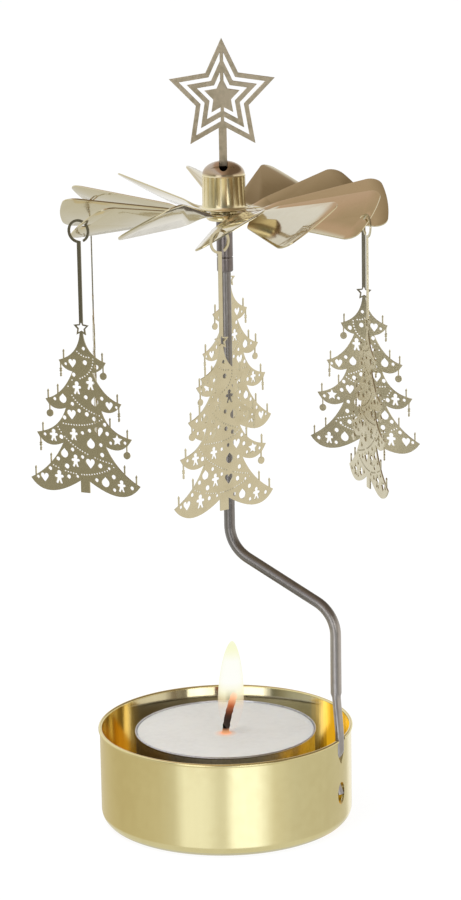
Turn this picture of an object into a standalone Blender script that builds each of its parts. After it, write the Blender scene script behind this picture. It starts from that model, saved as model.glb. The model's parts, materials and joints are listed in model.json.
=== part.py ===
"""Candle carousel.

A pressed cup holds a tealight. A bent wire post is hooked into the wall of
the cup and carries a needle. A rotor of twelve pitched blades balances on
the needle under a domed cap, with a star on top, and six etched tree charms
hang from its blades by open ring hooks.

Metres, +Z up. The origin is the centre of the cup's underside.
"""

import math

import bmesh
import bpy
from mathutils import Matrix, Vector

# Clearances and working allowances
SEAT_GAP = 0.0003
PRESS_GAP = 0.00006
CUT_OVERRUN = 0.002
WELD_DISTANCE = 0.0000002

# Cup: pressed sheet with a rolled rim
CUP_RADIUS = 0.0266
CUP_HEIGHT = 0.0205
CUP_WALL = 0.0005
CUP_CORNER_RADIUS = 0.0027
CUP_BEAD_RADIUS = 0.00040
CUP_SEGMENTS = 48

# Post: bent wire with a flattened tang that is hooked into the cup's wall
POST_RADIUS = 0.00115
POST_AZIMUTH = math.radians(-25.5)
POST_OFFSET = 0.0018
POST_KNEE_HEIGHT = 0.0594
POST_ELBOW_HEIGHT = 0.0474
POST_LEG_REACH = 0.0256
POST_TOP_HEIGHT = 0.1263
KNEE_BEND_RADIUS = 0.0075
ELBOW_BEND_RADIUS = 0.0075
TANG_START_HEIGHT = 0.0312
TANG_HALF_WIDTH = 0.0010
TANG_HALF_THICKNESS = 0.00045
TANG_BEND_RADIUS = 0.0012
TANG_TIP_HEIGHT = 0.0082
TANG_TIP_SHARE = 0.55
WIRE_SIDES = 12

# Openings in the cup's wall: a notch from the rim, and an eye for the tip
NOTCH_HALF_WIDTH = 0.00155
NOTCH_DEPTH = 0.0056
NOTCH_POINT_HEIGHT = 0.0024
EYE_HEIGHT = 0.0085
EYE_HALF_HEIGHT = 0.0024
EYE_HALF_WIDTH = 0.0010
EYE_SIDES = 12

# Sleeve and needle at the top of the post
SLEEVE_RADIUS = 0.00166
SLEEVE_OVERLAP = 0.0087
SLEEVE_BOTTOM_HEIGHT = POST_TOP_HEIGHT - SLEEVE_OVERLAP
SLEEVE_LENGTH = 0.0152
SLEEVE_CHAMFER = 0.00025
NEEDLE_RADIUS = 0.0006
NEEDLE_CONE_LENGTH = 0.0020
NEEDLE_POINT_RADIUS = 0.00012
NEEDLE_SIDES = 16

# Rotor: one sheet of twelve blades twisted at their necks
SHEET = 0.0004
BLADE_COUNT = 12
BLADE_PITCH = math.radians(29)
BLADE_RISES = (3.6, 3.6, 3.6, 3.6, 3.2, 2.4, 2.0, 2.6, 7.0, 3.6, 3.6, 3.6)
ROTOR_PHASE = math.radians(1.9)
ROTOR_ABOVE_POST = 0.0037
ROTOR_HEIGHT = POST_TOP_HEIGHT + ROTOR_ABOVE_POST
ROTOR_RADIUS = 0.0333
DISC_RADIUS = 0.0066
BLADE_SLIT = 0.0004
NECK_INNER = -0.0004
PANEL_START = 0.0118
SHOULDER_LENGTH = 0.0012
SHOULDER_WIDTH_SHARE = 0.85
NECK_FLARE_SHARE = 0.5
TIP_CORNER_RADIUS = 0.0026
NECK_STATIONS = 4
TIP_ARC_STEPS = 4
CORNER_STEPS = 3

# Charm hooks and the holes that they hang in
CHARM_COUNT = 6
HOOK_RADIUS = 0.0024
HOOK_BAND = 0.0005
HOOK_CLEARANCE = 0.0006
HOOK_WEB = 0.0006
HOOK_HOLE_SHIFT = -0.0009
HOOK_LIFT = 0.00055
SWING_AXIS_DROP = 0.0006
HOOK_HOLE_SIDES = 10
HOOK_ARC_STEPS = 15
HOOK_START_ANGLE = math.radians(-62)
HOOK_END_ANGLE = math.radians(262)
CHARM_YAWS = (126.7, 133.6, 124.1, 134.0, 122.0, 123.0)

# Charm: strap, hollow star and a tree in four tiers
STRAP_WIDTH = 0.0008
STRAP_LENGTH = 0.01625
CHARM_STAR_RADIUS = 0.00178
TREE_HEIGHT = 0.0329
TREE_HALF_WIDTH = 0.0124
CANDLE_HEIGHT = 0.0016
CANDLE_WIDTH = 0.0003
BAUBLE_RADIUS = 0.00074
BAUBLE_THREAD = 0.0011
BAUBLE_THREAD_WIDTH = 0.0003
BAUBLE_SIDES = 8
SLOPE_STEPS = 4
LOBE_STEPS = 4

# Each tier: its tip and the notch under it (across, down) as shares of the
# tree's half width and height, where the slope above the tip is pulled in,
# and where the lobe under the tip is pulled in and down
TIER_SHARES = (
    ((0.425, 0.175), (0.180, 0.242), (0.10, 0.80), (0.36, 0.062)),
    ((0.690, 0.425), (0.320, 0.474), (0.34, 0.84), (0.36, 0.084)),
    ((0.865, 0.640), (0.385, 0.696), (0.22, 0.86), (0.36, 0.112)),
    ((1.000, 0.932), (0.082, 0.926), (0.32, 0.66), (0.30, 0.150)),
)
APEX_HALF_WIDTH_SHARE = 0.026
STAR_HOLLOW_SHARE = 0.66
STAR_WAIST_SHARE = 0.50

# Candles stand on the slopes, so far in from each tier's tip as a share of
# the half width; baubles hang from the lobes of the tiers named here
CANDLE_SHARES = {
    1: ((0.05,), (0.06,), (0.38, 0.07), (0.27, 0.06)),
    -1: ((0.08,), (0.22, 0.04), (0.10,), (0.37, 0.08)),
}
BAUBLE_TIERS = {1: (0, 2), -1: (1,)}

# Cut-outs: kind, centre (across, down), size as a share of the half width
MOTIF_SHARES = (
    ("heart", (-0.17, 0.198), 0.072),
    ("figure", (-0.10, 0.346), 0.100),
    ("figure", (0.14, 0.312), 0.100),
    ("drop", (-0.37, 0.432), 0.064),
    ("heart", (0.46, 0.440), 0.070),
    ("heart", (-0.22, 0.520), 0.080),
    ("figure", (-0.58, 0.655), 0.100),
    ("heart", (0.26, 0.602), 0.078),
    ("drop", (0.12, 0.678), 0.070),
    ("drop", (-0.37, 0.770), 0.070),
    ("heart", (0.10, 0.812), 0.080),
    ("heart", (-0.74, 0.930), 0.074),
    ("figure", (-0.48, 0.922), 0.104),
    ("drop", (0.38, 0.918), 0.068),
    ("circle", (0.70, 0.936), 0.050),
)
DROP_SHOULDER = math.radians(30)
DROP_TIP_SHARE = 1.4
HEART_SHARES = ((0.00, -1.10), (0.92, 0.05), (0.84, 0.68), (0.36, 0.84), (0.00, 0.44))
FIGURE_SHARES = (
    (0.00, 1.00), (0.32, 0.78), (0.24, 0.44), (0.68, 0.36), (0.66, 0.02),
    (0.28, 0.02), (0.42, -0.95), (0.00, -0.50),
)

# Hub: domed cap, eyelet through the rotor's disc, bearing insert
CAP_RADIUS = 0.0044
CAP_FLARE_RADIUS = 0.0048
CAP_FOOT_RADIUS = 0.00455
CAP_WALL = 0.00035
CAP_WALL_HEIGHT = 0.0070
CAP_DOME_HEIGHT = 0.0028
CAP_SEGMENTS = 28
CAP_DOME_STEPS = 6
EYELET_BORE = 0.0021
EYELET_WALL = 0.0006
EYELET_FLANGE_RADIUS = 0.0037
EYELET_ROLL = 0.0013
EYELET_STAND = 0.0014
EYELET_SEGMENTS = 24
INSERT_THICKNESS = 0.0018
INSERT_CONE_RADIUS = 0.0016
INSERT_ABOVE_ROTOR = 0.0059
INSERT_HEIGHT = ROTOR_HEIGHT + INSERT_ABOVE_ROTOR

# Star finial: a flat sheet on a stem
STAR_RADIUS = 0.0118
STAR_WIDTH_SHARE = 0.95
STAR_ABOVE_ROTOR = 0.0233
STAR_CENTRE_HEIGHT = ROTOR_HEIGHT + STAR_ABOVE_ROTOR
STAR_SHARES = (1.0, 0.815, 0.665, 0.475, 0.335)
STAR_BAR_WIDTH = 0.0007
STEM_WIDTH = 0.0016
STEM_DEPTH_IN_CAP = 0.0008

# Tealight: metal cup, wax, wick and the wick's foot
TEALIGHT_RADIUS = 0.0192
TEALIGHT_HEIGHT = 0.0186
TEALIGHT_WALL = 0.0003
TEALIGHT_CORNER = 0.0012
TEALIGHT_LIP = 0.0004
TEALIGHT_SEGMENTS = 40
WAX_FREEBOARD = 0.0013
WAX_DISH = 0.0007
WICK_RADIUS = 0.0007
WICK_HEIGHT = 0.0088
WICK_LEAN = 0.0012
WICK_SIDES = 8
WICK_TIP_SHARE = 0.75
WICK_FOOT_RADIUS = 0.0065
WICK_FOOT_THICKNESS = 0.0004
WICK_COLLAR_HEIGHT = 0.0030
WICK_COLLAR_WALL = 0.0004


def clear_scene():
    """Remove every object so that the part starts from nothing."""
    for item in list(bpy.data.objects):
        bpy.data.objects.remove(item, do_unlink=True)


def make_material(name, colour, roughness, metallic):
    """A Principled material of one colour."""
    material = bpy.data.materials.new(name)
    material.use_nodes = True
    shader = material.node_tree.nodes["Principled BSDF"]
    shader.inputs["Base Color"].default_value = (*colour, 1.0)
    shader.inputs["Roughness"].default_value = roughness
    shader.inputs["Metallic"].default_value = metallic
    return material


def close_solid(bm):
    """Weld doubled points and turn every face outwards."""
    bmesh.ops.remove_doubles(bm, verts=bm.verts, dist=WELD_DISTANCE)
    bmesh.ops.recalc_face_normals(bm, faces=bm.faces)
    if bm.calc_volume(signed=True) < 0:
        bmesh.ops.reverse_faces(bm, faces=bm.faces)
    return bm


def add_object(name, bm, material, parent=None, location=(0, 0, 0), smooth_angle=30):
    """Turn a bmesh into a named, shaded object."""
    mesh = bpy.data.meshes.new(name)
    bm.to_mesh(mesh)
    bm.free()
    mesh.shade_smooth()
    mesh.set_sharp_from_angle(angle=math.radians(smooth_angle))
    item = bpy.data.objects.new(name, mesh)
    bpy.context.collection.objects.link(item)
    item.data.materials.append(material)
    item.parent = parent
    item.location = location
    return item


def add_empty(name, location):
    """An empty that marks a joint's axis."""
    empty = bpy.data.objects.new(name, None)
    bpy.context.collection.objects.link(empty)
    empty.location = location
    return empty


def add_cutter(name, bm, target):
    """Cut a closed shape out of a target object."""
    mesh = bpy.data.meshes.new(name)
    bm.to_mesh(mesh)
    bm.free()
    cutter = bpy.data.objects.new(name, mesh)
    bpy.context.collection.objects.link(cutter)
    cutter.parent = target.parent
    cutter.hide_render = True
    cutter.display_type = "WIRE"
    boolean = target.modifiers.new(name, "BOOLEAN")
    boolean.operation = "DIFFERENCE"
    boolean.solver = "EXACT"
    boolean.object = cutter
    return cutter


def arc_points(centre, radius, start, end, steps):
    """Points on a circular arc, both ends included."""
    points = []
    for step in range(steps + 1):
        angle = start + (end - start) * step / steps
        points.append((centre[0] + radius * math.cos(angle),
                       centre[1] + radius * math.sin(angle)))
    return points


def curve_points(start, pull, end, steps):
    """Points on a quadratic curve, without its first one."""
    points = []
    for step in range(1, steps + 1):
        t = step / steps
        points.append(tuple(
            (1 - t) ** 2 * a + 2 * t * (1 - t) * b + t * t * c
            for a, b, c in zip(start, pull, end)))
    return points


def lathe(profile, segments, closed=False):
    """Spin a profile of (radius, height) points about Z."""
    bm = bmesh.new()
    verts = [bm.verts.new((radius, 0, height)) for radius, height in profile]
    pairs = list(zip(verts, verts[1:]))
    if closed:
        pairs.append((verts[-1], verts[0]))
    edges = [bm.edges.new(pair) for pair in pairs]
    bmesh.ops.spin(bm, geom=verts + edges, cent=(0, 0, 0), axis=(0, 0, 1),
                   angle=math.tau, steps=segments, use_merge=True)
    return close_solid(bm)


def fill_outline(loops):
    """Fill an outline and its holes, given as loops of (x, y) points."""
    bm = bmesh.new()
    edges = []
    for loop in loops:
        verts = [bm.verts.new((x, y, 0)) for x, y in loop]
        for index, vert in enumerate(verts):
            edges.append(bm.edges.new((vert, verts[(index + 1) % len(verts)])))
    bmesh.ops.triangle_fill(bm, edges=edges, use_beauty=True)
    bmesh.ops.recalc_face_normals(bm, faces=bm.faces)
    return bm


def thicken(bm, thickness):
    """Extrude a flat filled outline to a sheet centred on its plane."""
    bmesh.ops.translate(bm, verts=bm.verts, vec=(0, 0, -thickness / 2))
    result = bmesh.ops.extrude_face_region(bm, geom=bm.faces[:], use_keep_orig=True)
    raised = [item for item in result["geom"] if isinstance(item, bmesh.types.BMVert)]
    bmesh.ops.translate(bm, verts=raised, vec=(0, 0, thickness))
    return close_solid(bm)


def star_points(radius, width_share=1.0):
    """A five-pointed star, its first tip straight up."""
    points = []
    for index in range(10):
        reach = radius if index % 2 == 0 else radius * STAR_WAIST_SHARE
        angle = math.pi / 2 - math.tau * index / 10
        points.append((reach * math.cos(angle) * width_share, reach * math.sin(angle)))
    return points


# Cup

def cup_profile():
    """Half section of the cup, from the middle of its underside round."""
    inner_radius = CUP_RADIUS - CUP_WALL
    bead_centre = (inner_radius + CUP_BEAD_RADIUS, CUP_HEIGHT - CUP_BEAD_RADIUS)
    inner_corner = CUP_CORNER_RADIUS - CUP_WALL
    corner_centre = (CUP_RADIUS - CUP_CORNER_RADIUS, CUP_CORNER_RADIUS)
    bead_start = -math.acos((CUP_WALL - CUP_BEAD_RADIUS) / CUP_BEAD_RADIUS)
    profile = [(0, 0)]
    profile += arc_points(corner_centre, CUP_CORNER_RADIUS, -math.pi / 2, 0, 4)
    profile += arc_points(bead_centre, CUP_BEAD_RADIUS, bead_start, math.pi, 6)
    profile += arc_points(corner_centre, inner_corner, 0, -math.pi / 2, 3)
    profile.append((0, CUP_WALL))
    return profile


def wall_cutter(outline, depth):
    """A prism along X from an outline of (across, height) points."""
    bm = fill_outline([outline])
    thicken(bm, depth)
    turn = Matrix(((0, 0, 1), (1, 0, 0), (0, 1, 0)))
    bmesh.ops.transform(bm, matrix=turn.to_4x4(), verts=bm.verts)
    return bm


def place_on_wall(bm):
    """Move a cutter from the origin to the cup's wall at the post."""
    wall_middle = CUP_RADIUS - CUP_WALL / 2
    bmesh.ops.translate(bm, verts=bm.verts, vec=(wall_middle, 0, 0))
    bmesh.ops.rotate(bm, verts=bm.verts, cent=(0, 0, 0),
                     matrix=Matrix.Rotation(POST_AZIMUTH, 3, "Z"))
    return close_solid(bm)


def build_cup(material):
    """The pressed cup, with a pointed notch and an eye for the tang."""
    cup = add_object("cup", lathe(cup_profile(), CUP_SEGMENTS), material)
    above = CUP_HEIGHT + CUT_OVERRUN
    point = CUP_HEIGHT - NOTCH_DEPTH
    shoulder = point + NOTCH_POINT_HEIGHT
    notch = [(-NOTCH_HALF_WIDTH, above), (-NOTCH_HALF_WIDTH, shoulder), (0, point),
             (NOTCH_HALF_WIDTH, shoulder), (NOTCH_HALF_WIDTH, above)]
    depth = CUT_OVERRUN + CUP_WALL
    add_cutter("cup_notch_cutter", place_on_wall(wall_cutter(notch, depth)), cup)
    eye = []
    for index in range(EYE_SIDES):
        angle = math.tau * index / EYE_SIDES
        eye.append((EYE_HALF_WIDTH * math.cos(angle),
                    EYE_HEIGHT + EYE_HALF_HEIGHT * math.sin(angle)))
    add_cutter("cup_eye_cutter", place_on_wall(wall_cutter(eye, depth)), cup)
    return cup


# Post

def fillet_route(corners, radii, steps):
    """Round the inner corners of a flat route of (out, up) points."""
    route = [Vector(corners[0])]
    for before, corner, after, radius in zip(corners, corners[1:], corners[2:], radii):
        corner = Vector(corner)
        arrive = (corner - Vector(before)).normalized()
        leave = (Vector(after) - corner).normalized()
        turn = arrive.angle_signed(leave)
        setback = radius * math.tan(abs(turn) / 2)
        start = corner - arrive * setback
        side = math.copysign(1, arrive.cross(leave))
        normal = Vector((-arrive.y, arrive.x)) * side
        centre = start + normal * radius
        for step in range(steps + 1):
            angle = side * abs(turn) * step / steps
            route.append(centre + Matrix.Rotation(angle, 2) @ (start - centre))
    route.append(Vector(corners[-1]))
    return route


def post_route():
    """The post's centreline, from its top to the tang's tip in the eye."""
    in_wall = CUP_RADIUS - CUP_WALL / 2
    inside = CUP_RADIUS - CUP_WALL - SEAT_GAP - TANG_HALF_THICKNESS
    turn_in = CUP_HEIGHT - NOTCH_DEPTH + NOTCH_POINT_HEIGHT
    turn_out = EYE_HEIGHT + EYE_HALF_HEIGHT
    corners = [
        (POST_OFFSET, POST_TOP_HEIGHT),
        (POST_OFFSET, POST_KNEE_HEIGHT),
        (POST_LEG_REACH, POST_ELBOW_HEIGHT),
        (POST_LEG_REACH, TANG_START_HEIGHT),
        (in_wall, CUP_HEIGHT + TANG_BEND_RADIUS),
        (in_wall, turn_in + TANG_BEND_RADIUS),
        (inside, turn_in - TANG_BEND_RADIUS / 2),
        (inside, turn_out),
        (in_wall, TANG_TIP_HEIGHT),
    ]
    bends = (KNEE_BEND_RADIUS, ELBOW_BEND_RADIUS) + (TANG_BEND_RADIUS,) * 5
    return fillet_route(corners, bends, 4)


def post_section(point, is_tip):
    """Half sizes of the wire here: in the plane of the bends, and across it."""
    flat = min(1.0, max(0.0, (TANG_START_HEIGHT - point.y) / POST_RADIUS))
    depth = POST_RADIUS + (TANG_HALF_THICKNESS - POST_RADIUS) * flat
    width = POST_RADIUS + (TANG_HALF_WIDTH - POST_RADIUS) * flat
    if is_tip:
        width *= TANG_TIP_SHARE
    return depth, width


def on_post_axis(height):
    """A point of the needle's line, which stands a little off the cup's middle."""
    return (POST_OFFSET * math.cos(POST_AZIMUTH), POST_OFFSET * math.sin(POST_AZIMUTH), height)


def build_post(material):
    """Sweep the wire along its route, flattened over the tang."""
    route = post_route()
    bm = bmesh.new()
    rings = []
    for index, point in enumerate(route):
        ahead = route[min(index + 1, len(route) - 1)]
        behind = route[max(index - 1, 0)]
        along = (ahead - behind).normalized()
        across = Vector((-along.y, along.x))
        depth, width = post_section(point, index == len(route) - 1)
        ring = []
        for side in range(WIRE_SIDES):
            angle = math.tau * (side + 0.5) / WIRE_SIDES
            shift = across * depth * math.cos(angle)
            ring.append(bm.verts.new((point.x + shift.x, width * math.sin(angle),
                                      point.y + shift.y)))
        rings.append(ring)
    for ring, following in zip(rings, rings[1:]):
        for side in range(WIRE_SIDES):
            turned = (side + 1) % WIRE_SIDES
            bm.faces.new((ring[side], ring[turned], following[turned], following[side]))
    bm.faces.new(rings[0])
    bm.faces.new(rings[-1])
    bmesh.ops.rotate(bm, verts=bm.verts, cent=(0, 0, 0),
                     matrix=Matrix.Rotation(POST_AZIMUTH, 3, "Z"))
    return add_object("post", close_solid(bm), material)


def build_sleeve(material):
    """The tube that joins the post to the needle."""
    bore = sleeve_bore()
    profile = [
        (bore, 0), (SLEEVE_RADIUS - SLEEVE_CHAMFER, 0), (SLEEVE_RADIUS, SLEEVE_CHAMFER),
        (SLEEVE_RADIUS, SLEEVE_LENGTH - SLEEVE_CHAMFER),
        (SLEEVE_RADIUS - SLEEVE_CHAMFER, SLEEVE_LENGTH), (bore, SLEEVE_LENGTH),
    ]
    return add_object("needle_sleeve", lathe(profile, NEEDLE_SIDES, closed=True), material,
                      location=on_post_axis(SLEEVE_BOTTOM_HEIGHT))


def sleeve_bore():
    """Bore of the sleeve: its flats clear the wire by the press gap."""
    return (POST_RADIUS + PRESS_GAP) / math.cos(math.pi / NEEDLE_SIDES)


def needle_tip_height():
    """The needle's point stands just under the bottom of the bearing's cone."""
    return cone_apex_height() - SEAT_GAP


def cone_apex_height():
    """Depth of the bearing's cone, whose sides are steeper than the needle's."""
    return INSERT_HEIGHT + INSERT_THICKNESS - CAP_WALL


def build_needle(material):
    """The needle: a shank in the sleeve and a pointed pin above it."""
    start = POST_TOP_HEIGHT + SEAT_GAP
    step_up = SLEEVE_BOTTOM_HEIGHT + SLEEVE_LENGTH - start
    length = needle_tip_height() - start
    profile = [
        (0, 0), (POST_RADIUS, 0), (POST_RADIUS, step_up),
        (NEEDLE_RADIUS, step_up + POST_RADIUS - NEEDLE_RADIUS),
        (NEEDLE_RADIUS, length - NEEDLE_CONE_LENGTH),
        (NEEDLE_POINT_RADIUS, length), (0, length),
    ]
    return add_object("needle", lathe(profile, NEEDLE_SIDES), material,
                      location=on_post_axis(start))


# Rotor

def slit_edge(distance):
    """How far a blade's long edge is from its axis, out along the blade."""
    half_sector = math.pi / BLADE_COUNT
    return distance * math.tan(half_sector) - BLADE_SLIT / 2 / math.cos(half_sector)


def neck_middle():
    """The line, along a blade, about which its neck is twisted."""
    return (NECK_INNER + slit_edge(DISC_RADIUS)) / 2


def neck_low_edge(distance):
    """The low side of the neck, which flares into the panel's shoulder."""
    share = max(0.0, (distance - PANEL_START + SHOULDER_LENGTH) / SHOULDER_LENGTH)
    flare = (-slit_edge(PANEL_START) - NECK_INNER) * NECK_FLARE_SHARE
    return NECK_INNER + flare * min(1.0, share)


def corner_arc(side, steps):
    """A tip corner's rounding, where a long edge meets the tip's circle."""
    half_sector = math.pi / BLADE_COUNT
    inset = TIP_CORNER_RADIUS + BLADE_SLIT / 2
    centre_reach = ROTOR_RADIUS - TIP_CORNER_RADIUS
    off_edge = math.asin(inset / centre_reach)
    bearing = side * (half_sector - off_edge)
    centre = (centre_reach * math.cos(bearing), centre_reach * math.sin(bearing))
    edge_normal = side * (half_sector + math.pi / 2)
    points = arc_points(centre, TIP_CORNER_RADIUS, edge_normal, bearing, steps)
    return points, bearing


def panel_outline():
    """The flat blade beyond its neck, counter-clockwise from its low shoulder."""
    low_corner, low_bearing = corner_arc(-1, CORNER_STEPS)
    high_corner, high_bearing = corner_arc(1, CORNER_STEPS)
    tip = arc_points((0, 0), ROTOR_RADIUS, low_bearing, high_bearing, TIP_ARC_STEPS)
    shoulder_end = PANEL_START + SHOULDER_LENGTH
    outline = [(PANEL_START, neck_low_edge(PANEL_START))]
    outline.append((PANEL_START + SHOULDER_LENGTH / 3,
                    -slit_edge(PANEL_START) * SHOULDER_WIDTH_SHARE))
    outline.append((shoulder_end, -slit_edge(shoulder_end)))
    outline += low_corner + tip[1:-1] + list(reversed(high_corner))
    outline.append((PANEL_START, slit_edge(PANEL_START)))
    outline.append((PANEL_START, neck_middle()))
    return outline


def hook_hole_radius():
    """A hook's band turns freely in its hole."""
    return HOOK_BAND / 2 + HOOK_CLEARANCE


def hook_hole_place():
    """Where the hook's hole is: out along the blade, and across it."""
    return ROTOR_RADIUS - HOOK_WEB - hook_hole_radius(), HOOK_HOLE_SHIFT


def blade_rise(index):
    """How far a blade is bent up from the disc."""
    return math.radians(BLADE_RISES[index % BLADE_COUNT])


def bend_blade(point, full_rise):
    """Carry a point of the flat blade to its place on the pitched, raised blade."""
    distance, across = point
    span = PANEL_START - DISC_RADIUS
    share = min(1.0, max(0.0, (distance - DISC_RADIUS) / span))
    eased = share * share * (3 - 2 * share)
    pitch = BLADE_PITCH * eased
    rise = full_rise * share
    drop = span * math.tan(full_rise) / 2
    up = (distance - DISC_RADIUS) * math.tan(rise) - drop * share * share
    lever = across - neck_middle()
    shear = -math.sin(rise) * math.sin(pitch)
    return Vector((distance + lever * shear,
                   neck_middle() + lever * math.cos(pitch),
                   up + lever * math.sin(pitch) * math.cos(rise)))


def blade_bearing(index):
    """Direction of a blade's axis."""
    return math.tau * index / BLADE_COUNT + ROTOR_PHASE


def build_panel(with_hole, full_rise):
    """A blade's flat panel, bent to its pitch, with its neck."""
    loops = [panel_outline()]
    if with_hole:
        radius = hook_hole_radius()
        distance, across = hook_hole_place()
        loops.append([(distance + radius * math.cos(math.tau * k / HOOK_HOLE_SIDES),
                       across + radius * math.sin(math.tau * k / HOOK_HOLE_SIDES))
                      for k in range(HOOK_HOLE_SIDES)])
    bm = fill_outline(loops)
    rows = []
    for station in range(NECK_STATIONS + 1):
        distance = DISC_RADIUS + (PANEL_START - DISC_RADIUS) * station / NECK_STATIONS
        low = neck_low_edge(distance)
        high = slit_edge(distance)
        rows.append([bm.verts.new((distance, across, 0))
                     for across in (low, neck_middle(), high)])
    for row, following in zip(rows, rows[1:]):
        for index in range(2):
            bm.faces.new((row[index], following[index], following[index + 1], row[index + 1]))
    bmesh.ops.remove_doubles(bm, verts=bm.verts, dist=WELD_DISTANCE)
    for vert in bm.verts:
        vert.co = bend_blade((vert.co.x, vert.co.y), full_rise)
    return bm


def disc_ring(bm, bore):
    """The hub disc between its bore and the necks, one sector at a time."""
    half_sector = math.pi / BLADE_COUNT
    for index in range(BLADE_COUNT):
        turn = Matrix.Rotation(blade_bearing(index), 3, "Z")
        rim = [(DISC_RADIUS * math.cos(half_sector), -DISC_RADIUS * math.sin(half_sector)),
               (DISC_RADIUS, NECK_INNER), (DISC_RADIUS, neck_middle()),
               (DISC_RADIUS, slit_edge(DISC_RADIUS)),
               (DISC_RADIUS * math.cos(half_sector), DISC_RADIUS * math.sin(half_sector))]
        outer = [bm.verts.new(turn @ Vector((x, y, 0))) for x, y in rim]
        inner = []
        for x, y in rim:
            bearing = math.atan2(y, x)
            inner.append(bm.verts.new(turn @ Vector((bore * math.cos(bearing),
                                                     bore * math.sin(bearing), 0))))
        for k in range(len(rim) - 1):
            bm.faces.new((inner[k], outer[k], outer[k + 1], inner[k + 1]))


def build_rotor(material, axis):
    """All twelve blades and the disc as one thickened sheet."""
    bm = bmesh.new()
    disc_ring(bm, EYELET_BORE + EYELET_WALL + SEAT_GAP)
    spacing = BLADE_COUNT // CHARM_COUNT
    for index in range(BLADE_COUNT):
        blade = build_panel(index % spacing == 1, blade_rise(index))
        blade.transform(Matrix.Rotation(blade_bearing(index), 4, "Z"))
        mesh = bpy.data.meshes.new("blade")
        blade.to_mesh(mesh)
        blade.free()
        bm.from_mesh(mesh)
        bpy.data.meshes.remove(mesh)
    bmesh.ops.remove_doubles(bm, verts=bm.verts, dist=WELD_DISTANCE)
    bmesh.ops.recalc_face_normals(bm, faces=bm.faces)
    rotor = add_object("rotor_blades", bm, material, parent=axis)
    solidify = rotor.modifiers.new("sheet", "SOLIDIFY")
    solidify.thickness = SHEET
    solidify.offset = 0
    solidify.use_even_offset = True
    return rotor


# Hub

def dome_points(radius, rise, base):
    """Quarter section of a dome, from its edge up to its middle."""
    points = []
    for step in range(CAP_DOME_STEPS):
        angle = math.pi / 2 * step / CAP_DOME_STEPS
        points.append((radius * math.cos(angle), base + rise * math.sin(angle)))
    points.append((0, base + rise))
    return points


def build_cap(material, axis):
    """The domed cap that covers the bearing, flared at its foot."""
    foot = SHEET / 2 + SEAT_GAP
    top_of_wall = foot + CAP_WALL_HEIGHT
    inner = dome_points(CAP_RADIUS - CAP_WALL, CAP_DOME_HEIGHT - CAP_WALL, top_of_wall)
    outer = dome_points(CAP_RADIUS, CAP_DOME_HEIGHT, top_of_wall)
    profile = list(reversed(inner))
    profile += [(CAP_FOOT_RADIUS - CAP_WALL, foot), (CAP_FLARE_RADIUS, foot),
                (CAP_FLARE_RADIUS, foot + CAP_WALL), (CAP_FOOT_RADIUS, foot + CAP_WALL * 2)]
    profile += outer
    cap = add_object("hub_cap", lathe(profile, CAP_SEGMENTS), material, parent=axis)
    bm = bmesh.new()
    bmesh.ops.create_cube(bm, size=1)
    slot_size = (STEM_WIDTH + PRESS_GAP * 2, SHEET + PRESS_GAP * 2,
                 (CAP_WALL + CAP_DOME_HEIGHT) * 2)
    bmesh.ops.scale(bm, verts=bm.verts, vec=slot_size)
    bmesh.ops.translate(bm, verts=bm.verts, vec=(0, 0, top_of_wall + slot_size[2] / 2))
    add_cutter("cap_slot_cutter", bm, cap)
    return cap


def build_eyelet(material, axis):
    """The eyelet that clinches the disc, rolled over below it."""
    top = SHEET / 2 + EYELET_STAND
    barrel = EYELET_BORE + EYELET_WALL
    flange_top = -SHEET / 2 - SEAT_GAP
    roll_radius = EYELET_ROLL / 2
    roll_centre = (EYELET_FLANGE_RADIUS - roll_radius, flange_top - roll_radius)
    profile = [(barrel, top), (barrel, flange_top)]
    profile += arc_points(roll_centre, roll_radius, math.pi / 2, -math.pi / 2, 5)
    profile += [(EYELET_BORE + roll_radius, flange_top - EYELET_ROLL),
                (EYELET_BORE, flange_top - roll_radius), (EYELET_BORE, top)]
    return add_object("hub_eyelet", lathe(profile, EYELET_SEGMENTS, closed=True), material,
                      parent=axis)


def build_insert(material, axis):
    """The bearing insert pressed into the cap, with a cone for the needle."""
    radius = CAP_RADIUS - CAP_WALL - SEAT_GAP
    bottom = INSERT_HEIGHT - ROTOR_HEIGHT
    apex = cone_apex_height() - ROTOR_HEIGHT
    profile = [
        (0, apex), (NEEDLE_POINT_RADIUS * 2, apex), (INSERT_CONE_RADIUS, bottom),
        (radius, bottom), (radius, bottom + INSERT_THICKNESS),
        (0, bottom + INSERT_THICKNESS),
    ]
    return add_object("bearing_insert", lathe(profile, EYELET_SEGMENTS), material,
                      parent=axis)


def half_gap(outer, inner, side):
    """One side of the gap between two nested stars, kept off the bar."""
    bar = STAR_BAR_WIDTH / 2
    outer_points = [p for p in star_points(STAR_RADIUS * outer, STAR_WIDTH_SHARE)]
    inner_points = [p for p in star_points(STAR_RADIUS * inner, STAR_WIDTH_SHARE)]

    def meet(points, first, second):
        (x0, y0), (x1, y1) = points[first], points[second]
        share = (bar - x0) / (x1 - x0)
        return (bar, y0 + (y1 - y0) * share)

    loop = [meet(outer_points, 0, 1)] + outer_points[1:5] + [meet(outer_points, 5, 4)]
    loop += [meet(inner_points, 5, 4)] + list(reversed(inner_points[1:5]))
    loop += [meet(inner_points, 0, 1)]
    return [(side * x, y) for x, y in loop]


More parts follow.
